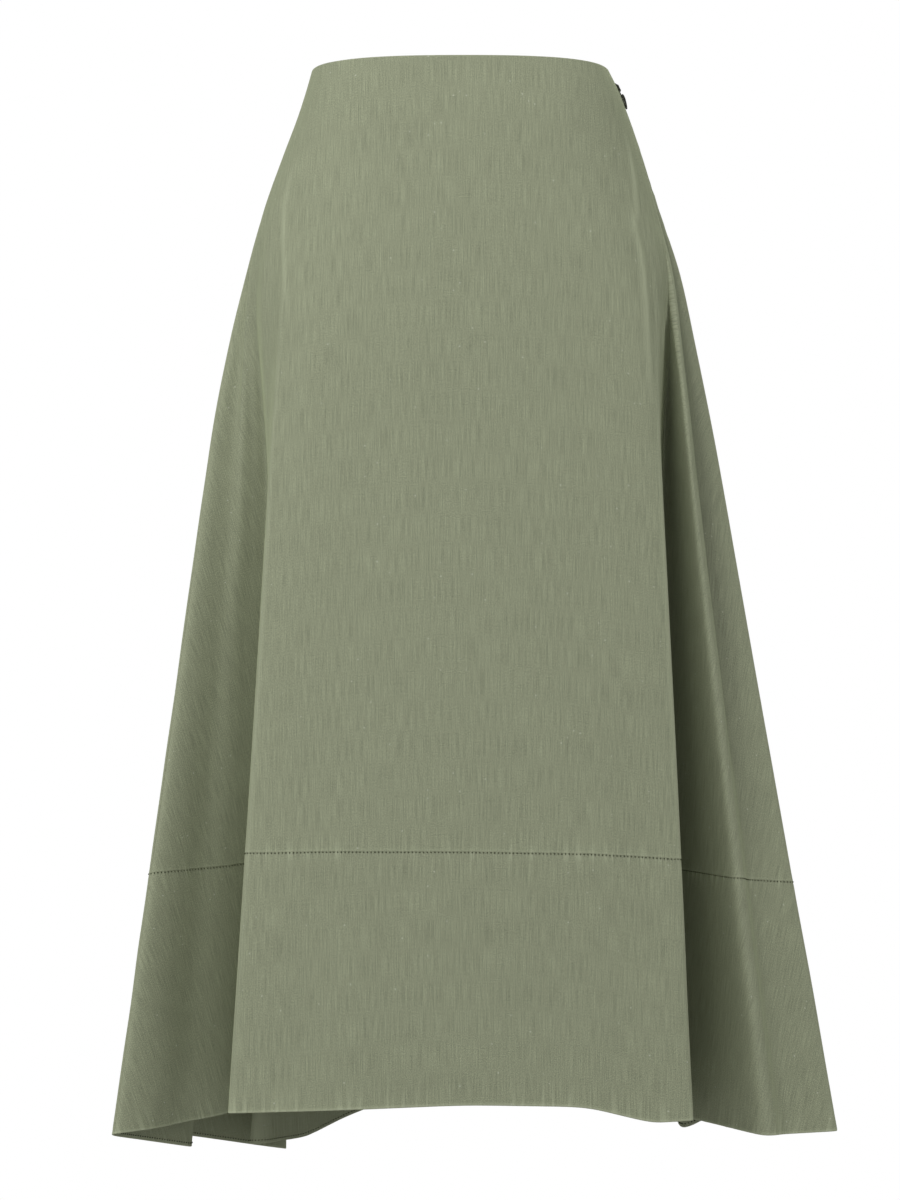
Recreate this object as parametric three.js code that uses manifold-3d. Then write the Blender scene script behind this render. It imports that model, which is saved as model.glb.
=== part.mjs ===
// A flared midi skirt, standing open as if worn: front and back panels, a hem band joined under each,
// and a concealed zip in the wearer's left side seam.
// Millimetres, +Z up, front towards -Y, the wearer's left towards +X. The origin is the centre of the waist
// edge, level with it at the side seams.
import * as THREE from "three";
import { mergeVertices } from "three/addons/utils/BufferGeometryUtils.js";
import Module from "manifold-3d";

// ---- Driving dimensions ----------------------------------------------------------------------------------

const CLOTH = 1.6; // wall of folded, faced and sewn cloth
const SEAM_GAP = 0.3; // between two sewn pieces
const WAIST_RISE = 1.2; // of the waist edge at the centre front above the side seams
const FOLD_RADIUS = 4.5; // tightest bend of the cloth at the hem
const FOLD_EASE = 50; // half the length over which a fold's slope sets in
const GIRTH_PULL = 0.33; // how far a fold's shoulders lie towards its neighbours round the waist
const SHOULDER_LIMIT = 0.38; // and at the hem at most, of the way to the next crest
const TOP_POWER = 2.7; // superellipse power of the waist
const LOW_POWER = 2.3; // and of the skirt below the hip
const POWER_DROP = 60; // drop over which the first eases into the second

const PANEL_ROWS = 12; // rows of faces from the waist to the band
const BAND_ROWS = 3; // rows of faces from the band's seam to the hem
const ROW_CROWDING = 1.35; // above 1 the panel's rows crowd towards the waist
const COLUMN_TURN = 22; // degrees of bend at the hem that one column of faces may take
const COLUMN_WIDTH = 24; // and its greatest width there
const COLUMN_SAMPLES = 12; // places tried for a column, in each step between two control points
const NARROWEST_COLUMN = 0.1; // of a step between two control points
const U_STEP = 0.02; // small step between control points, for slopes and distances
const DROP_STEP = 0.5; // and down the cloth
const CURVE_SEGMENTS = 4; // of each round corner of the zip's hardware

const ZIP_TOP = 5; // drop of the zip's top end
const ZIP_ROWS = 4; // rows of the panel that it runs down
const TAPE_WIDTH = 24;
const TAPE_THICKNESS = 0.8;
const TAPE_GAP = 0.4; // to the inside of the panels

const SLIDER_DROP = 11; // drop of the slider's middle, where the pull hangs
const SLIDER_WIDTH = 6.4;
const SLIDER_HEIGHT = 8.4;
const SLIDER_PLATE = 1.0;
const SLIDER_CORNER = 2; // radius of the plate's corners
const BRIDGE_WIDTH = 1.8;
const BRIDGE_HEIGHT = 6.4;
const BRIDGE_LEG = 0.8; // wall of the bridge's legs and arch
const BRIDGE_ROOM = 1.5; // height of the space under the bridge
const PULL_THICKNESS = 0.8;
const PULL_LENGTH = 17; // from its bar to its lower end
const PULL_BAR = 0.8; // height of the bar under the bridge
const PULL_WINDOW = 4.1; // height of the window that the bridge passes through
const PULL_TOP_WIDTH = 4.4;
const PULL_LOW_WIDTH = 5.6;
const PULL_CLEARANCE = 0.4; // round the bridge, and from the cloth at the lower end

// The body of the skirt with no folds: half-widths of its oval at each drop from the waist edge.
const SECTIONS = table("drop right left front back", [
  [0, 121, 112, 90, 88],
  [14, 125, 119, 92, 91],
  [34, 131.5, 127, 95, 95],
  [64, 143, 138, 98, 101],
  [114, 161.5, 155, 103, 113],
  [159, 174.5, 170, 107, 121],
  [209, 187, 181, 111, 127],
  [304, 205, 200, 118, 134],
  [830, 281, 295, 160, 172],
]);

// The folds, counter-clockwise from the wearer's right side seam as seen from above. girth: share of the way
// round the waist; loose: the drop where it leaves the oval; lean_x, lean_y: how far it has moved off it at
// start, the drop where the straight run to the hem begins; x, y: its place at the hem; seam, hem: its drop at
// the band's seam and at the hem edge; round: how far back from the crest its bend begins.
const FOLDS = table("name girth lean_x lean_y loose start x y seam hem round", [
  ["right_seam", 0, 0, 0, 80, 80, -283, -42, 626, 829, 40],
  ["right_valley", 0.03, 25, 15, 150, 300, -206, 14, 624, 825, 26],
  ["right_trough", 0.052, 42, 40, 150, 300, -160, 56, 621, 820, 40],
  ["right_return", 0.07, 36, -6, 150, 300, -160, -60, 613, 808, 30],
  ["front_right", 0.092, 24, -21, 80, 240, -179, -148, 603, 796, 12],
  ["front_mid_right", 0.17, 0, -4, 80, 240, -95, -160, 601, 792, 40],
  ["centre_front", 0.25, 0, 0, 80, 100, 0, -160, 601, 788, 40],
  ["front_mid_left", 0.33, 0, -2, 80, 240, 88, -156, 603, 790, 30],
  ["front_near_left", 0.372, -5, -10, 80, 240, 138, -149, 606, 803, 20],
  ["front_left", 0.402, -15, -18, 190, 250, 170, -143, 608, 802, 10],
  ["left_return", 0.417, -29, 2, 165, 300, 150, -70, 618, 810, 22],
  ["left_trough", 0.43, -29, 54, 160, 300, 158, 44, 626, 826, 32],
  ["left_ridge", 0.47, -23, -33, 80, 300, 231, -66, 627, 826, 10],
  ["left_valley", 0.484, -18, -12, 80, 300, 249, -39, 631, 829, 14],
  ["left_seam", 0.5, 0, 0, 80, 80, 295, -30, 634, 828, 28],
  ["back_side", 0.54, 0, 0, 80, 160, 246, 52, 636, 836, 32],
  ["back_flute_1", 0.575, 0, 0, 80, 160, 258, 110, 637, 838, 28],
  ["back_valley_rise", 0.597, 0, 0, 80, 160, 202, 106, 640, 838, 14],
  ["back_valley_1", 0.61, 0, 0, 80, 160, 178, 98, 640, 847, 18],
  ["back_flute_2", 0.645, 0, 0, 80, 160, 176, 182, 640, 845, 30],
  ["back_valley_2", 0.68, 0, 0, 80, 160, 104, 144, 630, 833, 36],
  ["back_flute_3", 0.715, 0, 0, 80, 160, 74, 203, 633, 837, 36],
  ["centre_back", 0.75, 0, 0, 80, 160, 0, 166, 630, 833, 40],
  ["back_flute_4", 0.785, 0, 0, 80, 160, -56, 206, 633, 836, 30],
  ["tuck_rise", 0.808, 0, 0, 80, 160, -100, 175, 644, 849, 16],
  ["tuck_side", 0.83, 0, 0, 80, 160, -134, 146, 650, 862, 24],
  ["tuck_inside", 0.855, 0, 0, 80, 160, -176, 102, 652, 860, 12],
  ["tuck_tip", 0.89, 0, 0, 80, 160, -153, 198, 668, 880, 10],
  ["back_flute_5", 0.925, 0, 0, 80, 160, -238, 128, 655, 856, 26],
  ["back_corner", 0.955, 0, 0, 80, 120, -220, 56, 645, 855, 12],
]);

const COTTON = new THREE.MeshStandardMaterial({ name: "sage_cotton", color: 0x8c927a, roughness: 0.92 });
const TAPE = new THREE.MeshStandardMaterial({ name: "zip_tape", color: 0x6d7360, roughness: 0.9 });
const METAL = new THREE.MeshStandardMaterial({
  name: "dark_metal",
  color: 0x3b3d36,
  roughness: 0.4,
  metalness: 0.9,
});

// ---- The skirt's surface ---------------------------------------------------------------------------------

// Rows of values as objects, keyed by the names of the columns.
function table(columns, rows) {
  const keys = columns.split(" ");
  return rows.map((row) => Object.fromEntries(keys.map((key, i) => [key, row[i]])));
}

// A column of SECTIONS at any drop: a smooth curve through its rows that never overshoots one.
function halfWidth(side, drop) {
  const slopeAfter = (i) => {
    const [from, to] = [SECTIONS[i], SECTIONS[i + 1]];
    return (to[side] - from[side]) / (to.drop - from.drop);
  };
  const last = SECTIONS.length - 1;
  const slopeAt = (i) => {
    if (i === 0) return slopeAfter(0);
    if (i >= last - 1) return slopeAfter(last - 1);
    const [before, after] = [slopeAfter(i - 1), slopeAfter(i)];
    return (2 * before * after) / (before + after);
  };
  if (drop <= 0) return SECTIONS[0][side] + drop * slopeAt(0);
  if (drop >= SECTIONS[last].drop) return SECTIONS[last][side] + (drop - SECTIONS[last].drop) * slopeAt(last);
  const i = SECTIONS.findIndex((row) => row.drop > drop) - 1;
  const [from, to] = [SECTIONS[i], SECTIONS[i + 1]];
  const height = to.drop - from.drop;
  const t = (drop - from.drop) / height;
  return (
    (1 + 2 * t) * (1 - t) ** 2 * from[side] +
    t * (1 - t) ** 2 * height * slopeAt(i) +
    t * t * (3 - 2 * t) * to[side] +
    t * t * (t - 1) * height * slopeAt(i + 1)
  );
}

// The plain oval, a superellipse whose four half-widths come from SECTIONS.
function ovalPoint(girth, drop) {
  const angle = Math.PI * (1 + 2 * girth);
  const power = LOW_POWER + (TOP_POWER - LOW_POWER) * Math.exp(-((drop / POWER_DROP) ** 2));
  const axis = (value, negative, positive) =>
    Math.sign(value) * Math.abs(value) ** (2 / power) * halfWidth(value < 0 ? negative : positive, drop);
  return new THREE.Vector2(axis(Math.cos(angle), "right", "left"), axis(Math.sin(angle), "front", "back"));
}

// 0 above the start, then rising in a straight line, with a soft bend between the two.
function rise(past) {
  if (past < -FOLD_EASE) return 0;
  return past > FOLD_EASE ? past : (past + FOLD_EASE) ** 2 / (4 * FOLD_EASE);
}

// Three control points for each fold: its crest and a shoulder on either side. Where the two shoulders would
// pinch the cloth tighter than FOLD_RADIUS they are spread apart.
function foldControls() {
  const controls = [];
  FOLDS.forEach((fold, i) => {
    const before = FOLDS.at(i - 1);
    const after = FOLDS[(i + 1) % FOLDS.length];
    const crest = new THREE.Vector2(fold.x, fold.y);
    const edges = [before, after].map((other) => new THREE.Vector2(other.x, other.y).sub(crest));
    const shares = edges.map((edge) => Math.min(fold.round / edge.length(), SHOULDER_LIMIT));
    const reach = (edges[0].length() * shares[0] + edges[1].length() * shares[1]) / 2;
    const units = edges.map((edge) => edge.clone().normalize());
    const bisector = units[0].clone().add(units[1]).normalize();
    const along = bisector.dot(units[0]);
    const across = Math.sqrt(1 - along ** 2);
    const spread = Math.max(0, Math.sqrt(2 * FOLD_RADIUS * reach * along) - reach * across);

    const shoulder = (side, other) => {
      const mixed = ["lean_x", "lean_y", "loose", "start", "seam", "hem"].map((key) => [
        key,
        fold[key] + shares[side] * (other[key] - fold[key]),
      ]);
      const turn = other.girth - fold.girth;
      const girth = fold.girth + GIRTH_PULL * (turn - Math.round(turn));
      const outward = units[side].clone().addScaledVector(bisector, -along).normalize();
      const place = crest.clone().addScaledVector(edges[side], shares[side]).addScaledVector(outward, spread);
      return { ...Object.fromEntries(mixed), girth, place };
    };
    controls.push(shoulder(0, before), { ...fold, place: crest }, shoulder(1, after));
  });
  return controls;
}

const CONTROLS = foldControls();

// Where a control point hangs at some drop: on the oval, leaning off it down to its start, and from there
// moving to its place at the hem.
function controlPoint(control, drop) {
  const lean = new THREE.Vector2(control.lean_x, control.lean_y);
  const fold = control.place.clone().sub(ovalPoint(control.girth, control.hem)).sub(lean);
  const belowStart = rise(drop - control.start);
  const leanShare = (rise(drop - control.loose) - belowStart) / Math.max(control.start - control.loose, 1);
  const foldShare = belowStart / rise(control.hem - control.start);
  const point = ovalPoint(control.girth, drop);
  point.addScaledVector(lean, leanShare).addScaledVector(fold, foldShare);
  return new THREE.Vector3(point.x, point.y, -drop);
}

// A level gives the drop at each control point. `plus` lowers one, `between` divides the height of two.
const WAIST = (control) => -WAIST_RISE * Math.max(0, Math.sin(2 * Math.PI * control.girth));
const SEAM = (control) => control.seam;
const HEM = (control) => control.hem;
const plus = (level, drop) => (control) => level(control) + drop;
const between = (upper, lower, share) => (control) => upper(control) * (1 - share) + lower(control) * share;

// A point of the cloth's middle surface: a uniform cubic B-spline through the control points of one level.
// u counts control points; fold i has its crest at u = 3 i + 1.
function clothPoint(u, level) {
  const first = Math.floor(u);
  const f = u - first;
  const weights = [(1 - f) ** 3, 3 * f ** 3 - 6 * f ** 2 + 4, -3 * f ** 3 + 3 * f ** 2 + 3 * f + 1, f ** 3];
  const point = new THREE.Vector3();
  weights.forEach((weight, i) => {
    const control = CONTROLS[(first - 1 + i + CONTROLS.length) % CONTROLS.length];
    point.addScaledVector(controlPoint(control, level(control)), weight / 6);
  });
  return point;
}

function clothNormal(u, level) {
  const round = clothPoint(u + U_STEP, level).sub(clothPoint(u - U_STEP, level));
  const down = clothPoint(u, plus(level, DROP_STEP)).sub(clothPoint(u, plus(level, -DROP_STEP)));
  return down.cross(round).normalize();
}

// The u that lies some distance along the cloth from another.
function walk(u, distance, level) {
  const step = Math.sign(distance) * U_STEP;
  const start = clothPoint(u, level);
  let at = u;
  while (clothPoint(at, level).distanceTo(start) < Math.abs(distance)) at += step;
  const past = clothPoint(at, level).distanceTo(start) - Math.abs(distance);
  const length = clothPoint(at, level).distanceTo(clothPoint(at - step, level));
  return at - (step * past) / length;
}

const crestOf = (name) => 3 * FOLDS.findIndex((fold) => fold.name === name) + 1;
const RIGHT_SIDE = crestOf("right_seam");
const LEFT_SIDE = crestOf("left_seam");
const RIGHT_SIDE_AGAIN = RIGHT_SIDE + CONTROLS.length;

// ---- Cloth solids ----------------------------------------------------------------------------------------

// The us of a piece's columns: a new one wherever the hem has turned by COLUMN_TURN or run COLUMN_WIDTH.
function columnsBetween(from, to) {
  const steps = Math.round((to - from) * COLUMN_SAMPLES);
  const us = [from];
  let last = { direction: null, point: clothPoint(from, HEM) };
  for (let i = 1; i < steps; i += 1) {
    const u = from + ((to - from) * i) / steps;
    const point = clothPoint(u, HEM);
    const direction = clothPoint(u + U_STEP, HEM).sub(clothPoint(u - U_STEP, HEM)).setZ(0).normalize();
    last.direction ??= direction;
    const turned = THREE.MathUtils.radToDeg(direction.angleTo(last.direction));
    if (turned > COLUMN_TURN || point.distanceTo(last.point) > COLUMN_WIDTH) {
      us.push(u);
      last = { direction, point };
    }
  }
  return [...us, to];
}

// A closed body between two grids of points with the same rows and columns.
function closedWall(outer, inner, material, name) {
  const [rows, columns] = [outer.length, outer[0].length];
  const positions = [...outer.flat(), ...inner.flat()].flatMap((point) => point.toArray());
  const out = (r, c) => r * columns + c;
  const into = (r, c) => rows * columns + out(r, c);
  const faces = [];
  const quad = (a, b, c, d) => faces.push(a, b, c, a, c, d);
  for (let r = 0; r + 1 < rows; r += 1) {
    for (let c = 0; c + 1 < columns; c += 1) {
      quad(out(r, c), out(r + 1, c), out(r + 1, c + 1), out(r, c + 1));
      quad(into(r, c), into(r, c + 1), into(r + 1, c + 1), into(r + 1, c));
    }
    quad(out(r, 0), into(r, 0), into(r + 1, 0), out(r + 1, 0));
    quad(out(r, columns - 1), out(r + 1, columns - 1), into(r + 1, columns - 1), into(r, columns - 1));
  }
  for (let c = 0; c + 1 < columns; c += 1) {
    quad(out(0, c), out(0, c + 1), into(0, c + 1), into(0, c));
    quad(out(rows - 1, c), into(rows - 1, c), into(rows - 1, c + 1), out(rows - 1, c + 1));
  }
  const geometry = new THREE.BufferGeometry();
  geometry.setAttribute("position", new THREE.Float32BufferAttribute(positions, 3));
  geometry.setIndex(faces);
  return named(geometry, material, name);
}

function named(geometry, material, name) {
  const mesh = new THREE.Mesh(geometry, material);
  mesh.name = name;
  return mesh;
}

// A piece of cloth between two side edges and two levels. edges(level) gives its first and last u there.
function clothPiece(name, { columns, edges, levels, offset = 0, thickness = CLOTH, material = COTTON }) {
  const grid = (distance) =>
    levels.map((level) => {
      const [first, last] = edges(level);
      return columns.map((u, i) => {
        const at = i === 0 ? first : i === columns.length - 1 ? last : u;
        return clothPoint(at, level).addScaledVector(clothNormal(at, level), distance);
      });
    });
  return closedWall(grid(offset + thickness / 2), grid(offset - thickness / 2), material, name);
}

// Both side edges stand half a seam gap inside the crests that they are sewn at.
const sewnEdges = (from, to) => (level) => [walk(from, SEAM_GAP / 2, level), walk(to, -SEAM_GAP / 2, level)];

function levelsBetween(upper, lower, rows, crowding = 1) {
  return Array.from({ length: rows + 1 }, (_, i) => between(upper, lower, (i / rows) ** crowding));
}

const PANEL_LEVELS = levelsBetween(WAIST, plus(SEAM, -SEAM_GAP / 2), PANEL_ROWS, ROW_CROWDING);
const BAND_LEVELS = levelsBetween(plus(SEAM, SEAM_GAP / 2), HEM, BAND_ROWS);
const FRONT_COLUMNS = columnsBetween(RIGHT_SIDE, LEFT_SIDE);
const BACK_COLUMNS = columnsBetween(LEFT_SIDE, RIGHT_SIDE_AGAIN);

// A panel from the waist to the band, and the band below it to the hem, over the same columns.
function panelAndBand(side, columns) {
  const shared = { columns, edges: sewnEdges(columns[0], columns.at(-1)) };
  return [
    clothPiece(`${side}_panel`, { ...shared, levels: PANEL_LEVELS }),
    clothPiece(`${side}_hem_band`, { ...shared, levels: BAND_LEVELS }),
  ];
}

// ---- Zip -------------------------------------------------------------------------------------------------

// The closed tape lies against the inside of both panels, across the left side seam, on their own columns and
// rows.
function zipTape() {
  const levels = [() => ZIP_TOP, ...PANEL_LEVELS.slice(1, ZIP_ROWS + 1)];
  const edges = (level) => [walk(LEFT_SIDE, -TAPE_WIDTH / 2, level), walk(LEFT_SIDE, TAPE_WIDTH / 2, level)];
  const [first, last] = edges(levels.at(-1));
  const all = [...FRONT_COLUMNS, ...BACK_COLUMNS.slice(1)];
  const within = all.filter((u) => u > first + NARROWEST_COLUMN && u < last - NARROWEST_COLUMN);
  return clothPiece("zip_tape", {
    columns: [first, ...within, last],
    edges,
    levels,
    offset: -(CLOTH + TAPE_THICKNESS) / 2 - TAPE_GAP,
    thickness: TAPE_THICKNESS,
    material: TAPE,
  });
}

function roundedRectangle(width, height, radius) {
  const [x, y] = [width / 2, height / 2];
  const shape = new THREE.Shape();
  shape.absarc(x - radius, y - radius, radius, 0, Math.PI / 2);
  shape.absarc(-x + radius, y - radius, radius, Math.PI / 2, Math.PI);
  shape.absarc(-x + radius, -y + radius, radius, Math.PI, 1.5 * Math.PI);
  shape.absarc(x - radius, -y + radius, radius, 1.5 * Math.PI, 2 * Math.PI);
  return shape;
}

// Extruded flat pieces are drawn in the plane of the cloth (x across, y up) and rise from it along z.
const extrude = (shape, depth) =>
  new THREE.ExtrudeGeometry(shape, { depth, bevelEnabled: false, curveSegments: CURVE_SEGMENTS });

// A flat plate with an arched bridge standing on it, from top to bottom, for the pull's bar.
async function sliderGeometry() {
  const wasm = await Module();
  wasm.setup();
  const solid = (geometry) => {
    const bare = geometry.clone().deleteAttribute("normal").deleteAttribute("uv");
    const merged = mergeVertices(bare);
    const { array } = merged.getIndex();
    const vertices = merged.getAttribute("position").array;
    return new wasm.Manifold(
      new wasm.Mesh({ numProp: 3, vertProperties: vertices, triVerts: new Uint32Array(array) }),
    );
  };

  const plate = extrude(roundedRectangle(SLIDER_WIDTH, SLIDER_HEIGHT, SLIDER_CORNER), SLIDER_PLATE);
  const outside = BRIDGE_ROOM + BRIDGE_LEG;
  const arch = new THREE.Shape();
  arch.moveTo(-BRIDGE_HEIGHT / 2, -SLIDER_PLATE / 2);
  arch.lineTo(BRIDGE_HEIGHT / 2, -SLIDER_PLATE / 2);
  arch.lineTo(BRIDGE_HEIGHT / 2, outside - BRIDGE_LEG);
  arch.lineTo(BRIDGE_HEIGHT / 2 - BRIDGE_LEG, outside);
  arch.lineTo(-BRIDGE_HEIGHT / 2 + BRIDGE_LEG, outside);
  arch.lineTo(-BRIDGE_HEIGHT / 2, outside - BRIDGE_LEG);
  const room = new THREE.Path();
  const half = BRIDGE_HEIGHT / 2 - BRIDGE_LEG;
  room.moveTo(-half, 0);
  room.lineTo(half, 0);
  room.lineTo(half, BRIDGE_ROOM);
  room.lineTo(-half, BRIDGE_ROOM);
  arch.holes.push(room);
  const bridge = extrude(arch, BRIDGE_WIDTH);
  bridge.translate(0, 0, -BRIDGE_WIDTH / 2);
  bridge.rotateX(Math.PI / 2); // the arch now rises along z and is drawn along x
  bridge.rotateZ(Math.PI / 2); // and runs up the slider
  bridge.translate(0, 0, SLIDER_PLATE);

  const { vertProperties, triVerts } = solid(plate).add(solid(bridge)).getMesh();
  const geometry = new THREE.BufferGeometry();
  geometry.setAttribute("position", new THREE.BufferAttribute(vertProperties, 3));
  geometry.setIndex(new THREE.BufferAttribute(triVerts, 1));
  return geometry;
}

// A flat drop-shaped tab that hangs by the bar above its window. Its bar is at the local origin.
function pullGeometry() {
  const shape = new THREE.Shape();
  const low = PULL_LOW_WIDTH / 2;
  shape.moveTo(-PULL_TOP_WIDTH / 2, PULL_BAR / 2);
  shape.lineTo(-low, -PULL_LENGTH + low);
  shape.absarc(0, -PULL_LENGTH + low, low, Math.PI, 2 * Math.PI);
  shape.lineTo(PULL_TOP_WIDTH / 2, PULL_BAR / 2);
  const window = new THREE.Path();
  const side = BRIDGE_WIDTH / 2 + PULL_CLEARANCE;
  window.moveTo(-side, -PULL_BAR / 2);
  window.lineTo(side, -PULL_BAR / 2);
  window.lineTo(side, -PULL_BAR / 2 - PULL_WINDOW);
  window.lineTo(-side, -PULL_BAR / 2 - PULL_WINDOW);
  shape.holes.push(window);
  const geometry = extrude(shape, PULL_THICKNESS);
  return geometry.translate(0, 0, -PULL_THICKNESS / 2);
}

// The slider sits on the seam's outside; the pull leans from its bridge back to the cloth below it.
async function zipHead() {
  const level = () => SLIDER_DROP;
  const outward = clothNormal(LEFT_SIDE, level);
  const upper = clothPoint(LEFT_SIDE, () => SLIDER_DROP - SLIDER_HEIGHT / 2);
  const lower = clothPoint(LEFT_SIDE, () => SLIDER_DROP + SLIDER_HEIGHT / 2);
  const up = upper.sub(lower);
  up.addScaledVector(outward, -up.dot(outward)).normalize();
  const across = up.clone().cross(outward);
  const head = new THREE.Group();
  head.quaternion.setFromRotationMatrix(new THREE.Matrix4().makeBasis(across, up, outward));
  head.position.copy(clothPoint(LEFT_SIDE, level)).addScaledVector(outward, CLOTH / 2 + SEAM_GAP);
  head.add(named(await sliderGeometry(), METAL, "zip_slider"));

  const barHeight = SLIDER_PLATE + BRIDGE_ROOM / 2;
  const pull = named(pullGeometry(), METAL, "zip_pull");
  pull.position.set(0, 0, barHeight);
  pull.rotation.x = Math.atan2(barHeight - PULL_CLEARANCE - PULL_THICKNESS / 2, PULL_LENGTH);
  head.add(pull);
  return head;
}

// ---- The whole skirt -------------------------------------------------------------------------------------

const skirt = new THREE.Group();
skirt.add(...panelAndBand("front", FRONT_COLUMNS));
skirt.add(...panelAndBand("back", BACK_COLUMNS));
skirt.add(zipTape(), await zipHead());

export default skirt;
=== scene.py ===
"""A flared midi skirt of slubbed cotton: panels, hem bands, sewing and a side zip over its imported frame."""

import math

import bpy
import numpy as np
from mathutils import Matrix, Vector


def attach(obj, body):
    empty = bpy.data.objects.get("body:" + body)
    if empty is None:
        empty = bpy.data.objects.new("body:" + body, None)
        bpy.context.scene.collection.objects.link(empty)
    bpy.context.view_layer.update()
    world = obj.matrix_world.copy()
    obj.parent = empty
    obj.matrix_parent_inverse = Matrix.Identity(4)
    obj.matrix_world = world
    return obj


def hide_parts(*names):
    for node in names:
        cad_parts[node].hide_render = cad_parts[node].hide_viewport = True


bl_info = {
    "name": "Flared midi skirt",
    "version": (1, 0, 0),
    "blender": (4, 5, 0),
    "location": "3D View > Sidebar > Skirt",
    "description": "Builds a flared cotton skirt with a joined hem band and a side zip",
    "category": "Object",
}

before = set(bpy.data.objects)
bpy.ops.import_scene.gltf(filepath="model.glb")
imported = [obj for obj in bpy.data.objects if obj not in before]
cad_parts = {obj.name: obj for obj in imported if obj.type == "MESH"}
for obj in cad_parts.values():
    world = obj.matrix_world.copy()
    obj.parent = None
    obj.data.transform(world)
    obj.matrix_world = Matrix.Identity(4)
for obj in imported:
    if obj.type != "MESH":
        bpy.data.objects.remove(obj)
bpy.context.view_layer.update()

MILLIMETRES = 1000  # in a metre

# ---- The skirt's form, in millimetres: the same sizes as its frame -----------------------------------------

SEAM_GAP = 0.3  # between the front and the back at a side seam
WAIST_RISE = 1.2  # of the waist's edge at the centre front
FOLD_RADIUS = 4.5  # the tightest that the cloth bends
FOLD_EASE = 50  # height to either side of its start over which a lean or a fold sets in
GIRTH_PULL = 0.33  # how much of the girth up to the next crest a shoulder takes
SHOULDER_LIMIT = 0.38  # share of the way to the next crest that a shoulder never passes
TOP_POWER = 2.7  # of the oval at the waist
LOW_POWER = 2.3  # and of the one well below it
POWER_DROP = 60  # over which the first turns into the second
ZIP_FOOT = 140.0  # drop of the zip's lower end

# The body with no folds. Columns: drop right left front back
SECTIONS = (
    (0, 121, 112, 90, 88),
    (14, 125, 119, 92, 91),
    (34, 131.5, 127, 95, 95),
    (64, 143, 138, 98, 101),
    (114, 161.5, 155, 103, 113),
    (159, 174.5, 170, 107, 121),
    (209, 187, 181, 111, 127),
    (304, 205, 200, 118, 134),
    (830, 281, 295, 160, 172),
)

# The folds. Columns: name girth lean_x lean_y loose start x y seam hem round
FOLDS = (
    ("right_seam", 0, 0, 0, 80, 80, -283, -42, 626, 829, 40),
    ("right_valley", 0.03, 25, 15, 150, 300, -206, 14, 624, 825, 26),
    ("right_trough", 0.052, 42, 40, 150, 300, -160, 56, 621, 820, 40),
    ("right_return", 0.07, 36, -6, 150, 300, -160, -60, 613, 808, 30),
    ("front_right", 0.092, 24, -21, 80, 240, -179, -148, 603, 796, 12),
    ("front_mid_right", 0.17, 0, -4, 80, 240, -95, -160, 601, 792, 40),
    ("centre_front", 0.25, 0, 0, 80, 100, 0, -160, 601, 788, 40),
    ("front_mid_left", 0.33, 0, -2, 80, 240, 88, -156, 603, 790, 30),
    ("front_near_left", 0.372, -5, -10, 80, 240, 138, -149, 606, 803, 20),
    ("front_left", 0.402, -15, -18, 190, 250, 170, -143, 608, 802, 10),
    ("left_return", 0.417, -29, 2, 165, 300, 150, -70, 618, 810, 22),
    ("left_trough", 0.43, -29, 54, 160, 300, 158, 44, 626, 826, 32),
    ("left_ridge", 0.47, -23, -33, 80, 300, 231, -66, 627, 826, 10),
    ("left_valley", 0.484, -18, -12, 80, 300, 249, -39, 631, 829, 14),
    ("left_seam", 0.5, 0, 0, 80, 80, 295, -30, 634, 828, 28),
    ("back_side", 0.54, 0, 0, 80, 160, 246, 52, 636, 836, 32),
    ("back_flute_1", 0.575, 0, 0, 80, 160, 258, 110, 637, 838, 28),
    ("back_valley_rise", 0.597, 0, 0, 80, 160, 202, 106, 640, 838, 14),
    ("back_valley_1", 0.61, 0, 0, 80, 160, 178, 98, 640, 847, 18),
    ("back_flute_2", 0.645, 0, 0, 80, 160, 176, 182, 640, 845, 30),
    ("back_valley_2", 0.68, 0, 0, 80, 160, 104, 144, 630, 833, 36),
    ("back_flute_3", 0.715, 0, 0, 80, 160, 74, 203, 633, 837, 36),
    ("centre_back", 0.75, 0, 0, 80, 160, 0, 166, 630, 833, 40),
    ("back_flute_4", 0.785, 0, 0, 80, 160, -56, 206, 633, 836, 30),
    ("tuck_rise", 0.808, 0, 0, 80, 160, -100, 175, 644, 849, 16),
    ("tuck_side", 0.83, 0, 0, 80, 160, -134, 146, 650, 862, 24),
    ("tuck_inside", 0.855, 0, 0, 80, 160, -176, 102, 652, 860, 12),
    ("tuck_tip", 0.89, 0, 0, 80, 160, -153, 198, 668, 880, 10),
    ("back_flute_5", 0.925, 0, 0, 80, 160, -238, 128, 655, 856, 26),
    ("back_corner", 0.955, 0, 0, 80, 120, -220, 56, 645, 855, 12),
)

FOLD_AT = {row[0]: index for index, row in enumerate(FOLDS)}
FOLD_POINTS = 3  # control points for each fold: a shoulder, its crest and the other shoulder


def named_columns(names, rows):
    """Rows of numbers as arrays, keyed by the names of the columns."""
    return {name: np.array([row[index] for row in rows], float) for index, name in enumerate(names.split())}


SHAPE = named_columns("drop right left front back", SECTIONS)


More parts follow.
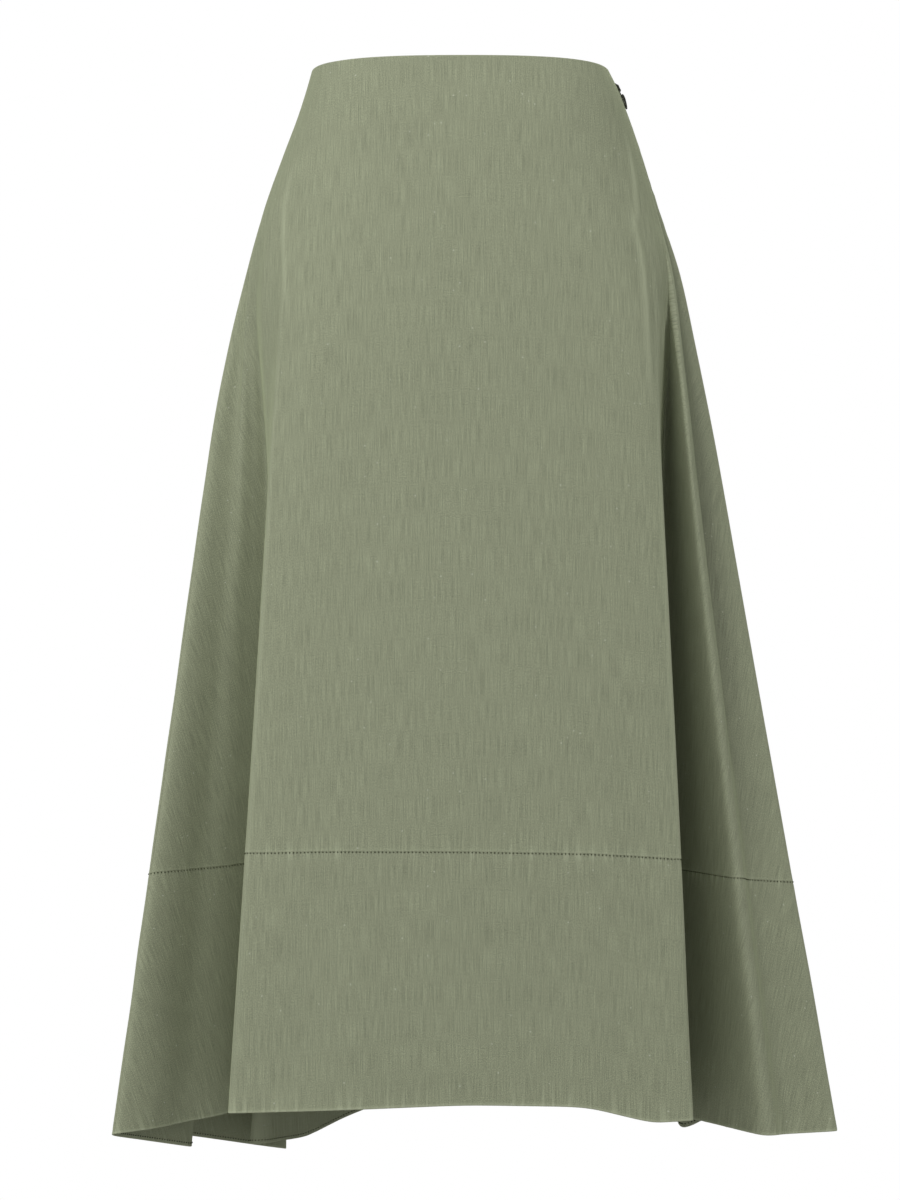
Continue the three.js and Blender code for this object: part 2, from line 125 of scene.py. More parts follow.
def half_width(side, drop):
    """A cubic Hermite curve through one column of SECTIONS.

    Each inner slope is the harmonic mean of the slopes on either side, so the curve never overshoots a row.
    """
    at, value = SHAPE["drop"], SHAPE[side]
    step = np.diff(value) / np.diff(at)
    inner = 2 * step[:-2] * step[1:-1] / (step[:-2] + step[1:-1])
    slope = np.concatenate([step[:1], inner, step[-1:], step[-1:]])
    i = np.clip(np.searchsorted(at, drop, side="right") - 1, 0, len(at) - 2)
    height = at[i + 1] - at[i]
    t = (drop - at[i]) / height
    curve = (1 + 2 * t) * (1 - t) ** 2 * value[i] + t * t * (3 - 2 * t) * value[i + 1]
    curve += height * (t * (1 - t) ** 2 * slope[i] + t * t * (t - 1) * slope[i + 1])
    above = value[0] + drop * slope[0]
    below = value[-1] + (drop - at[-1]) * slope[-1]
    return np.where(drop <= 0, above, np.where(drop >= at[-1], below, curve))


def oval(girth, drop):
    """A superellipse, |x/a|^p + |y/b|^p = 1, with a half-width of its own on each of its four sides."""
    angle = math.pi * (1 + 2 * girth)
    power = LOW_POWER + (TOP_POWER - LOW_POWER) * np.exp(-((drop / POWER_DROP) ** 2))
    across, along = np.cos(angle), np.sin(angle)
    x = np.sign(across) * np.abs(across) ** (2 / power)
    y = np.sign(along) * np.abs(along) ** (2 / power)
    x = x * np.where(across < 0, half_width("right", drop), half_width("left", drop))
    y = y * np.where(along < 0, half_width("front", drop), half_width("back", drop))
    return np.stack([x, y], axis=-1)


def rise(past):
    """0 up to -FOLD_EASE, then a parabola that runs into the straight line of `past` itself."""
    bend = (past + FOLD_EASE) ** 2 / (4 * FOLD_EASE)
    return np.where(past < -FOLD_EASE, 0.0, np.where(past > FOLD_EASE, past, bend))


def unit(vectors):
    """The vectors, each brought to a length of 1."""
    return vectors / np.maximum(np.linalg.norm(vectors, axis=-1, keepdims=True), 1e-12)


def fold_controls():
    """The FOLD_POINTS of every fold.

    A shoulder lies part of the way to the next crest. Where two of them would bend the cloth tighter than
    FOLD_RADIUS, they are spread apart, across the line that halves the fold.
    """
    fold = named_columns("girth lean_x lean_y loose start x y seam hem round", [row[1:] for row in FOLDS])
    count = len(FOLDS)
    crest = np.stack([fold["x"], fold["y"]], axis=1)
    others = [np.roll(np.arange(count), 1), np.roll(np.arange(count), -1)]
    edges = [crest[other] - crest for other in others]
    lengths = [np.linalg.norm(edge, axis=1) for edge in edges]
    shares = [np.minimum(fold["round"] / length, SHOULDER_LIMIT) for length in lengths]
    reach = (lengths[0] * shares[0] + lengths[1] * shares[1]) / 2
    units = [unit(edge) for edge in edges]
    bisector = unit(units[0] + units[1])
    along = np.sum(bisector * units[0], axis=1)
    across = np.sqrt(1 - along**2)
    spread = np.maximum(0, np.sqrt(2 * FOLD_RADIUS * reach * along) - reach * across)

    controls = {key: np.repeat(fold[key], FOLD_POINTS) for key in fold}
    controls["place"] = np.repeat(crest, FOLD_POINTS, axis=0)
    for side, (other, share) in enumerate(zip(others, shares)):
        slot = slice(2 * side, None, FOLD_POINTS)
        for key in ("lean_x", "lean_y", "loose", "start", "seam", "hem"):
            controls[key][slot] = fold[key] + share * (fold[key][other] - fold[key])
        turn = fold["girth"][other] - fold["girth"]
        controls["girth"][slot] = fold["girth"] + GIRTH_PULL * (turn - np.round(turn))
        outward = unit(units[side] - along[:, None] * bisector)
        controls["place"][slot] = crest + edges[side] * share[:, None] + outward * spread[:, None]
    controls["lean"] = np.stack([controls["lean_x"], controls["lean_y"]], axis=1)
    return controls


CONTROL = fold_controls()
CONTROL_COUNT = len(CONTROL["girth"])
WAIST_DROP = -WAIST_RISE * np.maximum(0, np.sin(2 * math.pi * CONTROL["girth"]))
SEAM_DROP = CONTROL["seam"]
HEM_DROP = CONTROL["hem"]


def crest_column(fold):
    """The place of a fold's crest round the skirt, counted in control points."""
    return FOLD_POINTS * FOLD_AT[fold] + 1


def control_points(drop):
    """Where each control point hangs at its drop in each row.

    That is the oval's point, plus a lean that grows from the loose drop down to the fold's start, plus the
    way to the fold's place at the hem, which grows in a straight line below that start.
    """
    loose = CONTROL["loose"]
    start = CONTROL["start"]
    fold = CONTROL["place"] - oval(CONTROL["girth"], HEM_DROP) - CONTROL["lean"]
    below_start = rise(drop - start)
    lean_share = (rise(drop - loose) - below_start) / np.maximum(start - loose, 1)
    fold_share = below_start / rise(HEM_DROP - start)
    flat = oval(CONTROL["girth"], drop) + CONTROL["lean"] * lean_share[..., None]
    flat += fold * fold_share[..., None]
    return np.concatenate([flat, -drop[..., None]], axis=-1)


def spline_weights(u):
    """Weights and slopes of a closed uniform cubic B-spline's control points at each u, as two matrices."""
    first = np.floor(u).astype(int)
    f = u - first
    weights = [(1 - f) ** 3, 3 * f**3 - 6 * f**2 + 4, -3 * f**3 + 3 * f**2 + 3 * f + 1, f**3]
    slopes = [-3 * (1 - f) ** 2, 9 * f**2 - 12 * f, -9 * f**2 + 6 * f + 3, 3 * f**2]
    matrices = np.zeros((2, len(u), CONTROL_COUNT))
    for offset in range(4):
        slot = (first - 1 + offset) % CONTROL_COUNT
        matrices[0, np.arange(len(u)), slot] += weights[offset] / 6
        matrices[1, np.arange(len(u)), slot] += slopes[offset] / 6
    return matrices


def cloth_surface(u, drop):
    """Points, outward normals and the directions round and down of the cloth's middle surface.

    u holds the columns, counted in control points, and drop has a row of the control points' drops for each
    row of the surface. The way down is taken over one millimetre, and the normal is down x round.
    """
    weights, slopes = spline_weights(u)
    here = control_points(drop)
    below = control_points(drop + 0.5) - control_points(drop - 0.5)
    points = np.einsum("uk,rkx->rux", weights, here)
    round_way = np.einsum("uk,rkx->rux", slopes, here)
    down_way = np.einsum("uk,rkx->rux", weights, below)
    return points, unit(np.cross(down_way, round_way)), unit(round_way), unit(down_way)


# ---- Meshes ------------------------------------------------------------------------------------------------

RIM_ROWS = 3  # points of a wall's rounded edge between its two sides


def new_object(name, points, faces, material, uv=None, masks=None):
    """A smooth mesh object from points in millimetres and its faces, with its weave's UV and its masks."""
    mesh = bpy.data.meshes.new(name)
    mesh.from_pydata((points.reshape(-1, 3) / MILLIMETRES).tolist(), [], faces)
    mesh.update()
    mesh.polygons.foreach_set("use_smooth", np.ones(len(mesh.polygons), bool))
    if uv is not None:
        corner = np.empty(len(mesh.loops), int)
        mesh.loops.foreach_get("vertex_index", corner)
        layer = mesh.uv_layers.new(name="weave")
        layer.data.foreach_set("uv", (uv.reshape(-1, 2)[corner] / MILLIMETRES).ravel())
    for mask, values in (masks or {}).items():
        attribute = mesh.attributes.new(mask, "FLOAT", "POINT")
        attribute.data.foreach_set("value", np.asarray(values, float).ravel())
    mesh.materials.append(material)
    built = bpy.data.objects.new(name, mesh)
    bpy.context.scene.collection.objects.link(built)
    return built


def ring_faces(rows, columns):
    """Quads of a grid that closes on itself from its last row back to its first, with its two ends open."""
    here = np.arange(rows)[:, None] * columns + np.arange(columns - 1)[None, :]
    below = np.roll(np.arange(rows), -1)[:, None] * columns + np.arange(columns - 1)[None, :]
    return np.stack([here, below, below + 1, here + 1], axis=-1).reshape(-1, 4).tolist()


def end_faces(outside, within, columns, column, flip):
    """Faces across a wall's end, between two matching lists of its rows."""
    faces = []
    for corners in zip(outside[:-1], outside[1:], within[1:], within[:-1]):
        corners = list(dict.fromkeys(row * columns + column for row in corners))
        faces.append(corners[::-1] if flip else corners)
    return faces


def rim(from_edge, to_edge, away):
    """A half ellipse of RIM_ROWS points from one edge of a wall round to the other, bulging along `away`."""
    angle = (math.pi * (np.arange(RIM_ROWS) + 1) / (RIM_ROWS + 1))[:, None, None]
    centre, half = (from_edge + to_edge) / 2, (from_edge - to_edge) / 2
    bulge = away * np.linalg.norm(half, axis=-1, keepdims=True)
    return centre + np.cos(angle) * half + np.sin(angle) * bulge


def wall_object(name, outer, inner, down, material, uv, masks):
    """A closed wall between an outer and an inner grid of points, with rounded upper and lower edges.

    Its section runs down the outer grid, round the lower rim, up the inner grid and round the upper rim.
    """
    rows, columns = outer.shape[:2]
    lower = rim(outer[-1], inner[-1], down[-1])
    upper = rim(inner[0], outer[0], -down[0])
    points = np.concatenate([outer, lower, inner[::-1], upper])

    def around(outside, within=None):
        within = outside if within is None else within
        lower, upper = (np.repeat(outside[row], RIM_ROWS, axis=0) for row in (slice(-1, None), slice(1)))
        return np.concatenate([outside, lower, within[::-1], upper])

    total = len(points)
    faces = ring_faces(total, columns)
    crown, foot = total - RIM_ROWS // 2 - 1, rows + RIM_ROWS // 2
    outside = [*range(crown, total), *range(foot + 1)]
    within = list(range(crown, foot - 1, -1))
    faces += end_faces(outside, within, columns, 0, True)
    faces += end_faces(outside, within, columns, columns - 1, False)
    layers = {key: around(*values) for key, values in masks.items()}
    inside = np.concatenate([np.zeros(rows), np.full(RIM_ROWS, 0.5), np.ones(rows), np.full(RIM_ROWS, 0.5)])
    layers["inside"] = np.repeat(inside[:, None], columns, axis=1)
    return new_object(name, points, faces, material, around(uv), layers)


# ---- Cloth pieces ------------------------------------------------------------------------------------------

CLOTH_OUT = 0.8  # the cloth's outside, from the middle of the frame's wall
CLOTH_IN = 0.4  # and its inside
OVERLAP = 0.7  # of the panel's pressed edge over the band's seam
HEM_STITCHES = 2.4  # height of the hem's stitches over its edge
PATTERN_TURN = 0.45  # half the angle of a panel's flat cut, in radians
FINE_STEPS = 6000  # of the line along the hem on which the columns are placed
COLUMN_TURN = 7  # degrees of bend that one column of faces takes at the hem
SIDE_EDGES = (0, 0.5, 1.2, 2.2, 4)  # distances of the first columns from a side seam at the hem
EDGE_ROWS = (0, 0.6, 1.5, 3, 5.5, 9)  # at the top of a band and at the foot of every piece
PANEL_TOP_ROWS = (0, 0.8, 2, 4, *range(8, 154, 5))  # close together beside the zip

# The cloth from one side seam to the other, as its first and its last column
SPANS = {
    "front": (crest_column("right_seam"), crest_column("left_seam")),
    "back": (crest_column("left_seam"), crest_column("right_seam") + CONTROL_COUNT),
}

# Panels and bands. upper and lower are the drops of their edges, and height is what their rows are spread
# over. At the seam between them the panel rises and the band sinks, by the lip.
CUTS = {
    "panel": {
        "upper": WAIST_DROP,
        "lower": SEAM_DROP + OVERLAP / 2,
        "height": 620,
        "top_rows": PANEL_TOP_ROWS,
        "lip": 0.1,
    },
    "band": {
        "upper": SEAM_DROP - OVERLAP / 2,
        "lower": HEM_DROP,
        "height": 198,
        "top_rows": EDGE_ROWS,
        "lip": -0.12,
    },
}

# The cloth laid flat. Columns: side, size in metres, area in square metres
PANEL_SHEETS = (("front", (0.82, 0.70), 0.37), ("back", (0.88, 0.74), 0.40))
BAND_SHEETS = (("front", (1.08, 0.34), 0.185), ("back", (1.14, 0.36), 0.205))

# Soft creases that follow no fold. The ends are a place round the skirt, counted in folds, and a drop, and
# worn_and_highlit is how pale the crease's top is painted, for wear and a painted highlight on its crest.
# Columns: from_fold from_drop to_fold to_drop width height worn_and_highlit
CREASES = (
    (4.15, 95, 4.6, 420, 16, 0.9, 0),
    (8.95, 70, 8.85, 300, 13, 1.0, 0),
    (4.9, 330, 5.05, 600, 24, -0.7, 0),
    (5.7, 420, 5.65, 780, 26, 0.7, 0),
    (6.55, 250, 6.6, 590, 30, -0.6, 0),
    (7.35, 120, 7.7, 560, 24, 0.8, 0),
    (7.75, 480, 7.9, 790, 20, -0.8, 0),
    (8.4, 330, 8.5, 700, 18, 0.8, 0),
    (6.2, 610, 6.25, 780, 16, -0.6, 0),
    (5.15, 640, 5.1, 790, 18, 0.7, 0),
    (1.2, 200, 0.7, 560, 14, 0.9, 0),
    (0.55, 330, 0.45, 780, 18, -0.9, 0),
    (12.6, 130, 12.7, 400, 10, 0.8, 0),
    (13.5, 420, 13.4, 810, 16, -0.8, 0),
    (15.2, 160, 15.5, 620, 20, 0.9, 0),
    (16.4, 210, 16.5, 700, 15, -0.8, 0),
    (19.5, 110, 19.6, 480, 24, 0.9, 0),
    (20.5, 260, 20.4, 800, 18, -0.7, 0),
    (21.7, 140, 21.5, 520, 22, 0.8, 0),
    (22.6, 300, 22.5, 790, 18, -0.8, 0),
    (24.4, 180, 24.6, 600, 20, 0.9, 0),
    (27.5, 240, 27.7, 760, 16, -0.8, 0),
    (28.8, 120, 28.6, 430, 14, 0.8, 0),
    (11.0, 52, 8.5, 132, 3, 0.8, 1.2),
    (8.75, 105, 8.55, 265, 3, 0.8, 1.2),
    (9.15, 125, 8.95, 265, 7, -1.6, 0),
    (11.85, 70, 11.95, 330, 1.8, 0.5, 0.5),
    (11.2, 118, 10.9, 262, 12, 2.6, 0),
    (12.55, 95, 12.75, 560, 7, -2.2, 0),
    (12.7, 300, 12.8, 810, 9, -2.2, 0),
    (11.8, 80, 10.2, 215, 8, -1.0, 0),
    (12.0, 84, 12.3, 260, 3, 0.6, 0.6),
    (13.2, 84, 13.3, 200, 4, -1.0, 0),
    (3.3, 70, 4.1, 200, 3, 0.6, 1.0),
    (3.93, 130, 4.0, 700, 2.5, 0.5, 0.7),
    (9.0, 205, 9.0, 700, 2.5, 0.4, 0.7),
    (11.2, 178, 9.3, 228, 3, 0.8, 1.1),
)
CREASE_SWAY = 0.04  # of a crease's line to either side, in folds
CREASE_TURN = 5  # radians of that sway from one end to the other
CREASE_TAPER = 0.8  # power of the half sine along it


def grow(values, start, end):
    """0 before `start` and 1 past `end`, with a straight line between. Either of them may be the lower."""
    return np.clip((values - start) / (end - start), 0, 1)


def bell(distance, width):
    """1 at no distance, falling smoothly to either side: exp(-(distance / width)^2)."""
    return np.exp(-((distance / width) ** 2))


def waves(values, parts):
    """An uneven wave from -1 to 1: the mean of sines, each with its length and its phase."""
    return np.mean([np.sin(2 * math.pi * values / length + phase) for length, phase in parts], axis=0)


def piece_columns(first, last, spacing):
    """The us of a piece's columns, each with an even share of the hem's length and of its bend.

    A column's share is the length over `spacing` plus the bend over COLUMN_TURN. A few more columns stand
    close to either side seam.
    """
    fine = np.linspace(first, last, FINE_STEPS)
    points, _, round_way, _ = cloth_surface(fine, HEM_DROP[None])
    run = np.linalg.norm(np.diff(points[0], axis=0), axis=1)
    cosine = np.sum(round_way[0, 1:] * round_way[0, :-1], axis=1)
    bend = np.degrees(np.arccos(np.clip(cosine, -1, 1)))
    share = np.concatenate([[0], np.cumsum(run / spacing + bend / COLUMN_TURN)])
    places = np.interp(np.linspace(0, share[-1], math.ceil(share[-1]) + 1), share, fine)
    length = np.concatenate([[0], np.cumsum(run)])
    edges = np.array(SIDE_EDGES)
    near = np.interp([*edges, *(length[-1] - edges)], length, fine)
    keep = (places > near[len(edges) - 1]) & (places < near[-1])
    return np.unique(np.concatenate([near, places[keep]]))


def row_shares(height, step, top):
    """Shares of a piece's height: its rows at the top and the foot, in millimetres, and even ones between."""
    count = round((height - top[-1] - EDGE_ROWS[-1]) / step)
    middle = np.linspace(top[-1], height - EDGE_ROWS[-1], count + 1)[1:-1]
    return np.concatenate([top, middle, height - np.array(EDGE_ROWS)[::-1]]) / height


def creases(fold, drop, speed):
    """The height of every crease at each point, a bell across it and a half sine along it, and its wear and
    painted highlight.
    """
    height, wear_and_highlight = np.zeros_like(drop), np.zeros_like(drop)
    for from_fold, from_drop, to_fold, to_drop, width, rise_by, worn_and_highlit in CREASES:
        along = (drop - from_drop) / (to_drop - from_drop)
        sway = CREASE_SWAY * np.sin(CREASE_TURN * along + from_fold)
        line = from_fold + (to_fold - from_fold) * along + sway
        taper = np.sin(math.pi * np.clip(along, 0, 1)) ** CREASE_TAPER
        here = bell((fold - line) * speed, width) * taper
        height += rise_by * here
        wear_and_highlight += worn_and_highlit * here
    return height, wear_and_highlight


class Piece:
    """The grids from which one piece of cloth is made: its surface, and where each point lies on it.

    upper and lower give the control points' drops at its edges. arc is the way round it from the crest
    `centre`, edge the way to its nearer side seam, below_top the way to its upper edge and above_foot the way
    to its lower one. speed is how many millimetres round it one fold takes.
    """

    def __init__(self, columns, upper, lower, shares, centre):
        drops = upper + shares[:, None] * (lower - upper)
        self.points, self.normals, self.round_way, self.down = cloth_surface(columns, drops)
        self.points[:, 0] += self.round_way[:, 0] * SEAM_GAP / 2
        self.points[:, -1] -= self.round_way[:, -1] * SEAM_GAP / 2
        run = np.linalg.norm(np.diff(self.points, axis=1), axis=2)
        length = np.concatenate([np.zeros((len(shares), 1)), np.cumsum(run, axis=1)], axis=1)
        middle = np.array([np.interp(centre, columns, row) for row in length])[:, None]
        self.arc = length - middle
        self.edge = np.minimum(length, length[:, -1:] - length)
        self.fold = np.broadcast_to((columns - 1) / FOLD_POINTS, self.arc.shape)
        self.speed = np.gradient(length, axis=1) / np.gradient(self.fold, axis=1)
        self.drop = -self.points[..., 2]
        height = np.linalg.norm(np.diff(self.points, axis=0), axis=2)
        self.below_top = np.concatenate([np.zeros((1, len(columns))), np.cumsum(height, axis=0)])
        self.above_foot = self.below_top[-1:] - self.below_top
        self.crease_height, self.crease_wear_and_highlight = creases(self.fold, self.drop, self.speed)

    def flat_cut(self):
        """Where each point lay in the flat cut, in millimetres, with the grain down the centre.

        A flared panel is cut as part of a ring: a row of it is an arc whose radius is half the row's length
        over PATTERN_TURN, so x = r sin a and y = r (1 - cos a) - drop.
        """
        half = np.where(self.arc < 0, -self.arc[:, :1], self.arc[:, -1:])
        radius = half / PATTERN_TURN
        angle = self.arc / radius
        drop = np.mean(self.drop, axis=1, keepdims=True)
        return np.stack([radius * np.sin(angle), radius * (1 - np.cos(angle)) - drop], axis=-1)

    def bend(self):
        """How sharply the cloth bends outwards round the skirt, in turns of the normal per millimetre."""
        turned = np.gradient(self.normals, axis=1)
        run = np.maximum(np.gradient(self.arc, axis=1), 1e-3)[..., None]
        return np.sum(turned / run * self.round_way, axis=2)


# ---- How the cloth stands out of its frame's form, in millimetres ------------------------------------------

SIDE_ROUND = 1.4  # width over which the cloth rolls into a side seam
SIDE_FLATTENED = 0.5  # height of that roll's quarter circle over its width
LIP_WIDTH = 3.0  # height over which either cloth rises or sinks at the band's seam
PUCKER_HEIGHT = 9.0  # over which the gathers fade from a sewn line
FADE_POWER = 1.5
PANEL_GATHERS = 0.3  # of a panel at the band's seam, as a share of the band's
UNEVENNESS = 0.4  # share of a height that varies from place to place

DRIFT_HEIGHT = 0.5
DRIFT_SLANT = 0.12  # millimetres that its waves run round the skirt for each one down it
DRIFT_DROPS = (0, 200)  # over which it grows

# Uneven waves. Columns: length phase
DRIFT_ROUND = ((97, 0.4), (61, 2.1), (151, 4.0))
DRIFT_DOWN = ((310, 1.0), (190, 3.3))
GATHERS = ((9.7, 0.2), (14.3, 1.9), (23.0, 3.7))
GATHER_HEIGHTS = ((83, 1.2), (47, 0.3))
ZIP_GATHERS = ((8.3, 0.5), (12.1, 2.7), (19.0, 1.1))

ZIP_GATHER_WIDTH = 11
ZIP_GATHER_DEPTH = 1.2  # times the depth of the gathers at the other seams
ZIP_GATHER_TOP = (20, 70)  # drops over which they begin
ZIP_GATHER_END = (ZIP_FOOT + 6, ZIP_FOOT - 6)  # and, upwards, those over which they end


def varied(values, parts):
    """An uneven share of a height, never over 1."""
    return 1 - UNEVENNESS + UNEVENNESS * waves(values, parts)


def fade(distance, height):
    """1 at a sewn line and less away from it: exp(-(distance / height)^FADE_POWER)."""
    return np.exp(-((distance / height) ** FADE_POWER))


def side_roll(edge):
    """How far the cloth sinks beside a side seam: a quarter circle of radius SIDE_ROUND, flattened."""
    near = grow(edge, SIDE_ROUND, 0)
    return -SIDE_FLATTENED * SIDE_ROUND * (1 - np.sqrt(1 - near**2))


def drift(piece):
    """Shallow waves of the hanging cloth, over a hand's breadth round it and more down it."""
    across = waves(piece.arc + DRIFT_SLANT * piece.drop, DRIFT_ROUND)
    return DRIFT_HEIGHT * across * varied(piece.drop, DRIFT_DOWN) * grow(piece.drop, *DRIFT_DROPS)


def gathers(piece, distance, depth):
    """Small gathers that fade from a sewn line."""
    height = waves(piece.arc, GATHERS) * varied(piece.arc, GATHER_HEIGHTS)
    return depth * fade(distance, PUCKER_HEIGHT) * height


def zip_gathers(piece, depth):
    """Gathers where the zip is sewn in, along the left side seam."""
    seam_distance = abs(piece.fold - FOLD_AT["left_seam"]) * piece.speed
    height = waves(piece.drop, ZIP_GATHERS) * bell(seam_distance, ZIP_GATHER_WIDTH)
    span = grow(piece.drop, *ZIP_GATHER_TOP) * grow(piece.drop, *ZIP_GATHER_END)
    return ZIP_GATHER_DEPTH * depth * height * span


def cloth_relief(piece, cloth, lip, seam_distance, is_band):
    """The creases, drift, rolled sides and gathers of a piece, and its lip at the band's seam."""
    depth = cloth.pucker_depth * MILLIMETRES
    relief = piece.crease_height * cloth.crease_depth
    relief += drift(piece) + side_roll(piece.edge) + zip_gathers(piece, depth)
    relief += lip * bell(seam_distance, LIP_WIDTH)
    relief += gathers(piece, seam_distance, depth if is_band else depth * PANEL_GATHERS)
    if is_band:
        relief += gathers(piece, piece.above_foot, depth)
    return relief


# ---- Where the cloth is pale from wear and painted highlight, gathered, or dark from painted shade, as masks from 0 to 1 ---

# Pale folds: wear with a painted highlight on their bends. Columns: strength, and the bends and the drops
# over which it grows
OUTSIDE_FOLDS = (0.15, (0.035, 0.135), (120, 320))
INSIDE_FOLDS = (0.8, (0.02, 0.08), (400, 600))
# Wear with a painted highlight: on narrow creases, along the side seams and on the pressed edges
CREASE_WEAR_AND_HIGHLIGHT = 0.6
SIDE_WEAR_AND_HIGHLIGHT = 0.35  # along the side seams
SIDE_WEAR_AND_HIGHLIGHT_WIDTH = 1.5
HEM_WEAR_AND_HIGHLIGHT = 0.9  # on the pressed edge at the hem
PANEL_WEAR_AND_HIGHLIGHT = 0.4  # and on the panel's, over the band's seam
PRESSED_WIDTH = 1.2
TURNED_WEAR = 0.5  # inside, on the turned hem below its stitches
TURNED_BLUR = 0.3  # to either side of those stitches

SEAM_GATHER_HEIGHT = 7  # over which the band's seam gathers the cloth
HEM_GATHER = 0.5  # at the hem, as a share of those below the band's seam
HEM_GATHER_HEIGHT = 12

# The painted shade strip behind the ridge beside the zip, as places counted in folds and as drops
SHADE_FRONT = (12.15, 12.55)
SHADE_BACK = (13.7, 13.1)
SHADE_TOP = (76, 120)
SHADE_STEP = (ZIP_FOOT, ZIP_FOOT + 20)  # where it gets weaker
SHADE_BELOW = 0.75  # its strength from there
SHADE_END = (640, 240)


def fold_wear_and_highlight(bend, drop, strength, bends, drops):
    """Paleness of wear with a painted highlight, that grows with how sharply the cloth bends, and down the
    skirt.
    """
    return strength * grow(bend, *bends) * grow(drop, *drops)


def outside_wear_and_highlight(piece, is_band):
    """Where the outside is pale from wear with a painted highlight: on sharp folds, pressed edges, side seams
    and narrow creases.
    """
    worn_and_highlit = fold_wear_and_highlight(piece.bend(), piece.drop, *OUTSIDE_FOLDS)
    worn_and_highlit += (HEM_WEAR_AND_HIGHLIGHT if is_band else PANEL_WEAR_AND_HIGHLIGHT) * bell(piece.above_foot, PRESSED_WIDTH)
    worn_and_highlit += SIDE_WEAR_AND_HIGHLIGHT * np.exp(-piece.edge / SIDE_WEAR_AND_HIGHLIGHT_WIDTH) + CREASE_WEAR_AND_HIGHLIGHT * piece.crease_wear_and_highlight
    return np.clip(worn_and_highlit, 0, 1)


def inside_wear_and_highlight(piece, is_band):
    """Where the inside is pale: wear with a painted highlight on folds towards it, and on the turned hem
    below its stitches.
    """
    worn_and_highlit = fold_wear_and_highlight(-piece.bend(), piece.drop, *INSIDE_FOLDS)
    if is_band:
        worn_and_highlit += TURNED_WEAR * grow(piece.above_foot, HEM_STITCHES + TURNED_BLUR, HEM_STITCHES - TURNED_BLUR)
    return np.clip(worn_and_highlit, 0, 1)


def gather_mask(piece, seam_distance, is_band):
    """Where the cloth is gathered by its sewing: under the band's seam, over it a little, and at the hem."""
    gathered = (1 if is_band else PANEL_GATHERS) * bell(seam_distance, SEAM_GATHER_HEIGHT)
    if is_band:
        gathered += HEM_GATHER * fade(piece.above_foot, HEM_GATHER_HEIGHT)
    return np.clip(gathered, 0, 1)


def fold_shade(piece):
    """Painted shade: a darker strip behind the ridge beside the closed zip, and on down behind that ridge,
    fading.
    """
    behind = grow(piece.fold, *SHADE_FRONT) * grow(piece.fold, *SHADE_BACK)
    past_zip = grow(piece.drop, *SHADE_STEP)
    beside_zip = grow(piece.drop, *SHADE_TOP) * (1 - past_zip)
    return behind * (beside_zip + SHADE_BELOW * past_zip * grow(piece.drop, *SHADE_END))


# ---- One piece of cloth ------------------------------------------------------------------------------------

SEWN = {}  # of each piece of cloth: points, normals and the way to them, down its outside and up its inside


def cloth_piece(side, kind, stands_for, cloth):
    """One panel or band as a thin shell on its frame's form."""
    cut = CUTS[kind]
    is_band = kind == "band"
    columns = piece_columns(*SPANS[side], cloth.column_width * MILLIMETRES)
    shares = row_shares(cut["height"], cloth.row_height * MILLIMETRES, cut["top_rows"])
    piece = Piece(columns, cut["upper"], cut["lower"], shares, crest_column(f"centre_{side}"))
    seam_distance = piece.below_top if is_band else piece.above_foot
    relief = cloth_relief(piece, cloth, cut["lip"], seam_distance, is_band)[..., None] * piece.normals
    outer = piece.points + relief + CLOTH_OUT * piece.normals
    inner = piece.points + relief - CLOTH_IN * piece.normals
    # Masks: wear with a painted highlight, gathers, and painted shade
    masks = {
        "wear_and_highlight": (outside_wear_and_highlight(piece, is_band), inside_wear_and_highlight(piece, is_band)),
        "pucker": (gather_mask(piece, seam_distance, is_band),),
        "shade": (fold_shade(piece),),
    }
    name = f"{side}_{kind}_cloth"
    SEWN[name] = {
        "outside": (outer, piece.normals, piece.below_top),
        "inside": (inner[::-1], -piece.normals[::-1], piece.above_foot[::-1]),
    }
    built = wall_object(name, outer, inner, piece.down, cotton(cloth), piece.flat_cut(), masks)
    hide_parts(stands_for)
    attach(built, "skirt")
    return built


# ---- Materials ---------------------------------------------------------------------------------------------

# The yarns' uneven tones, the warp's own first. Columns: grains per metre across the warp, grains per metre
# along it, detail, depth
YARN_TONES = (
    (1500, 42, 2, 0.85),
    (420, 14, 2, 0.1),
    (1700, 1200, 1, 1.5),
    (30, 1000, 2, 0.16),
    (22, 9, 3, 0.08),
)
SLUB_GRAIN = (900, 45, 1)
SLUB_RANGE = (0.64, 0.80)  # of that grain: where a slub begins and where it is whole
NEP_CELLS = 210.0  # in a metre
NEP_SIZE = (0.09, 0.16)  # from its middle: how far a nep is whole and where it ends, in cells
NEP_RARITY = 0.93  # share of the cells without one
YARN_RELIEF = 0.05  # of each yarn over the next
WARP_RELIEF = 0.10  # of the warp's uneven thickness

SHADE_TONE = -0.6  # what the shade and the inside add to the cotton's tone of 1
INSIDE_TONE = 0.3
WEAR_AND_HIGHLIGHT_PALENESS = 0.8
SLUB_PALENESS = 0.21
GATHER_HIGHLIGHT = 0.9
GATHER_RELIEF = 1.5
GATHER_GRAIN = (230, 12, 1)
GATHER_RANGE = (0.5, 0.72)
PALE_TIMES, PALE_PLUS = 1.45, 0.02  # from the cotton's colour to the worn and highlit cotton's
NEP_PALENESS = 0.45
NEP_COLOUR = (0.60, 0.62, 0.52)

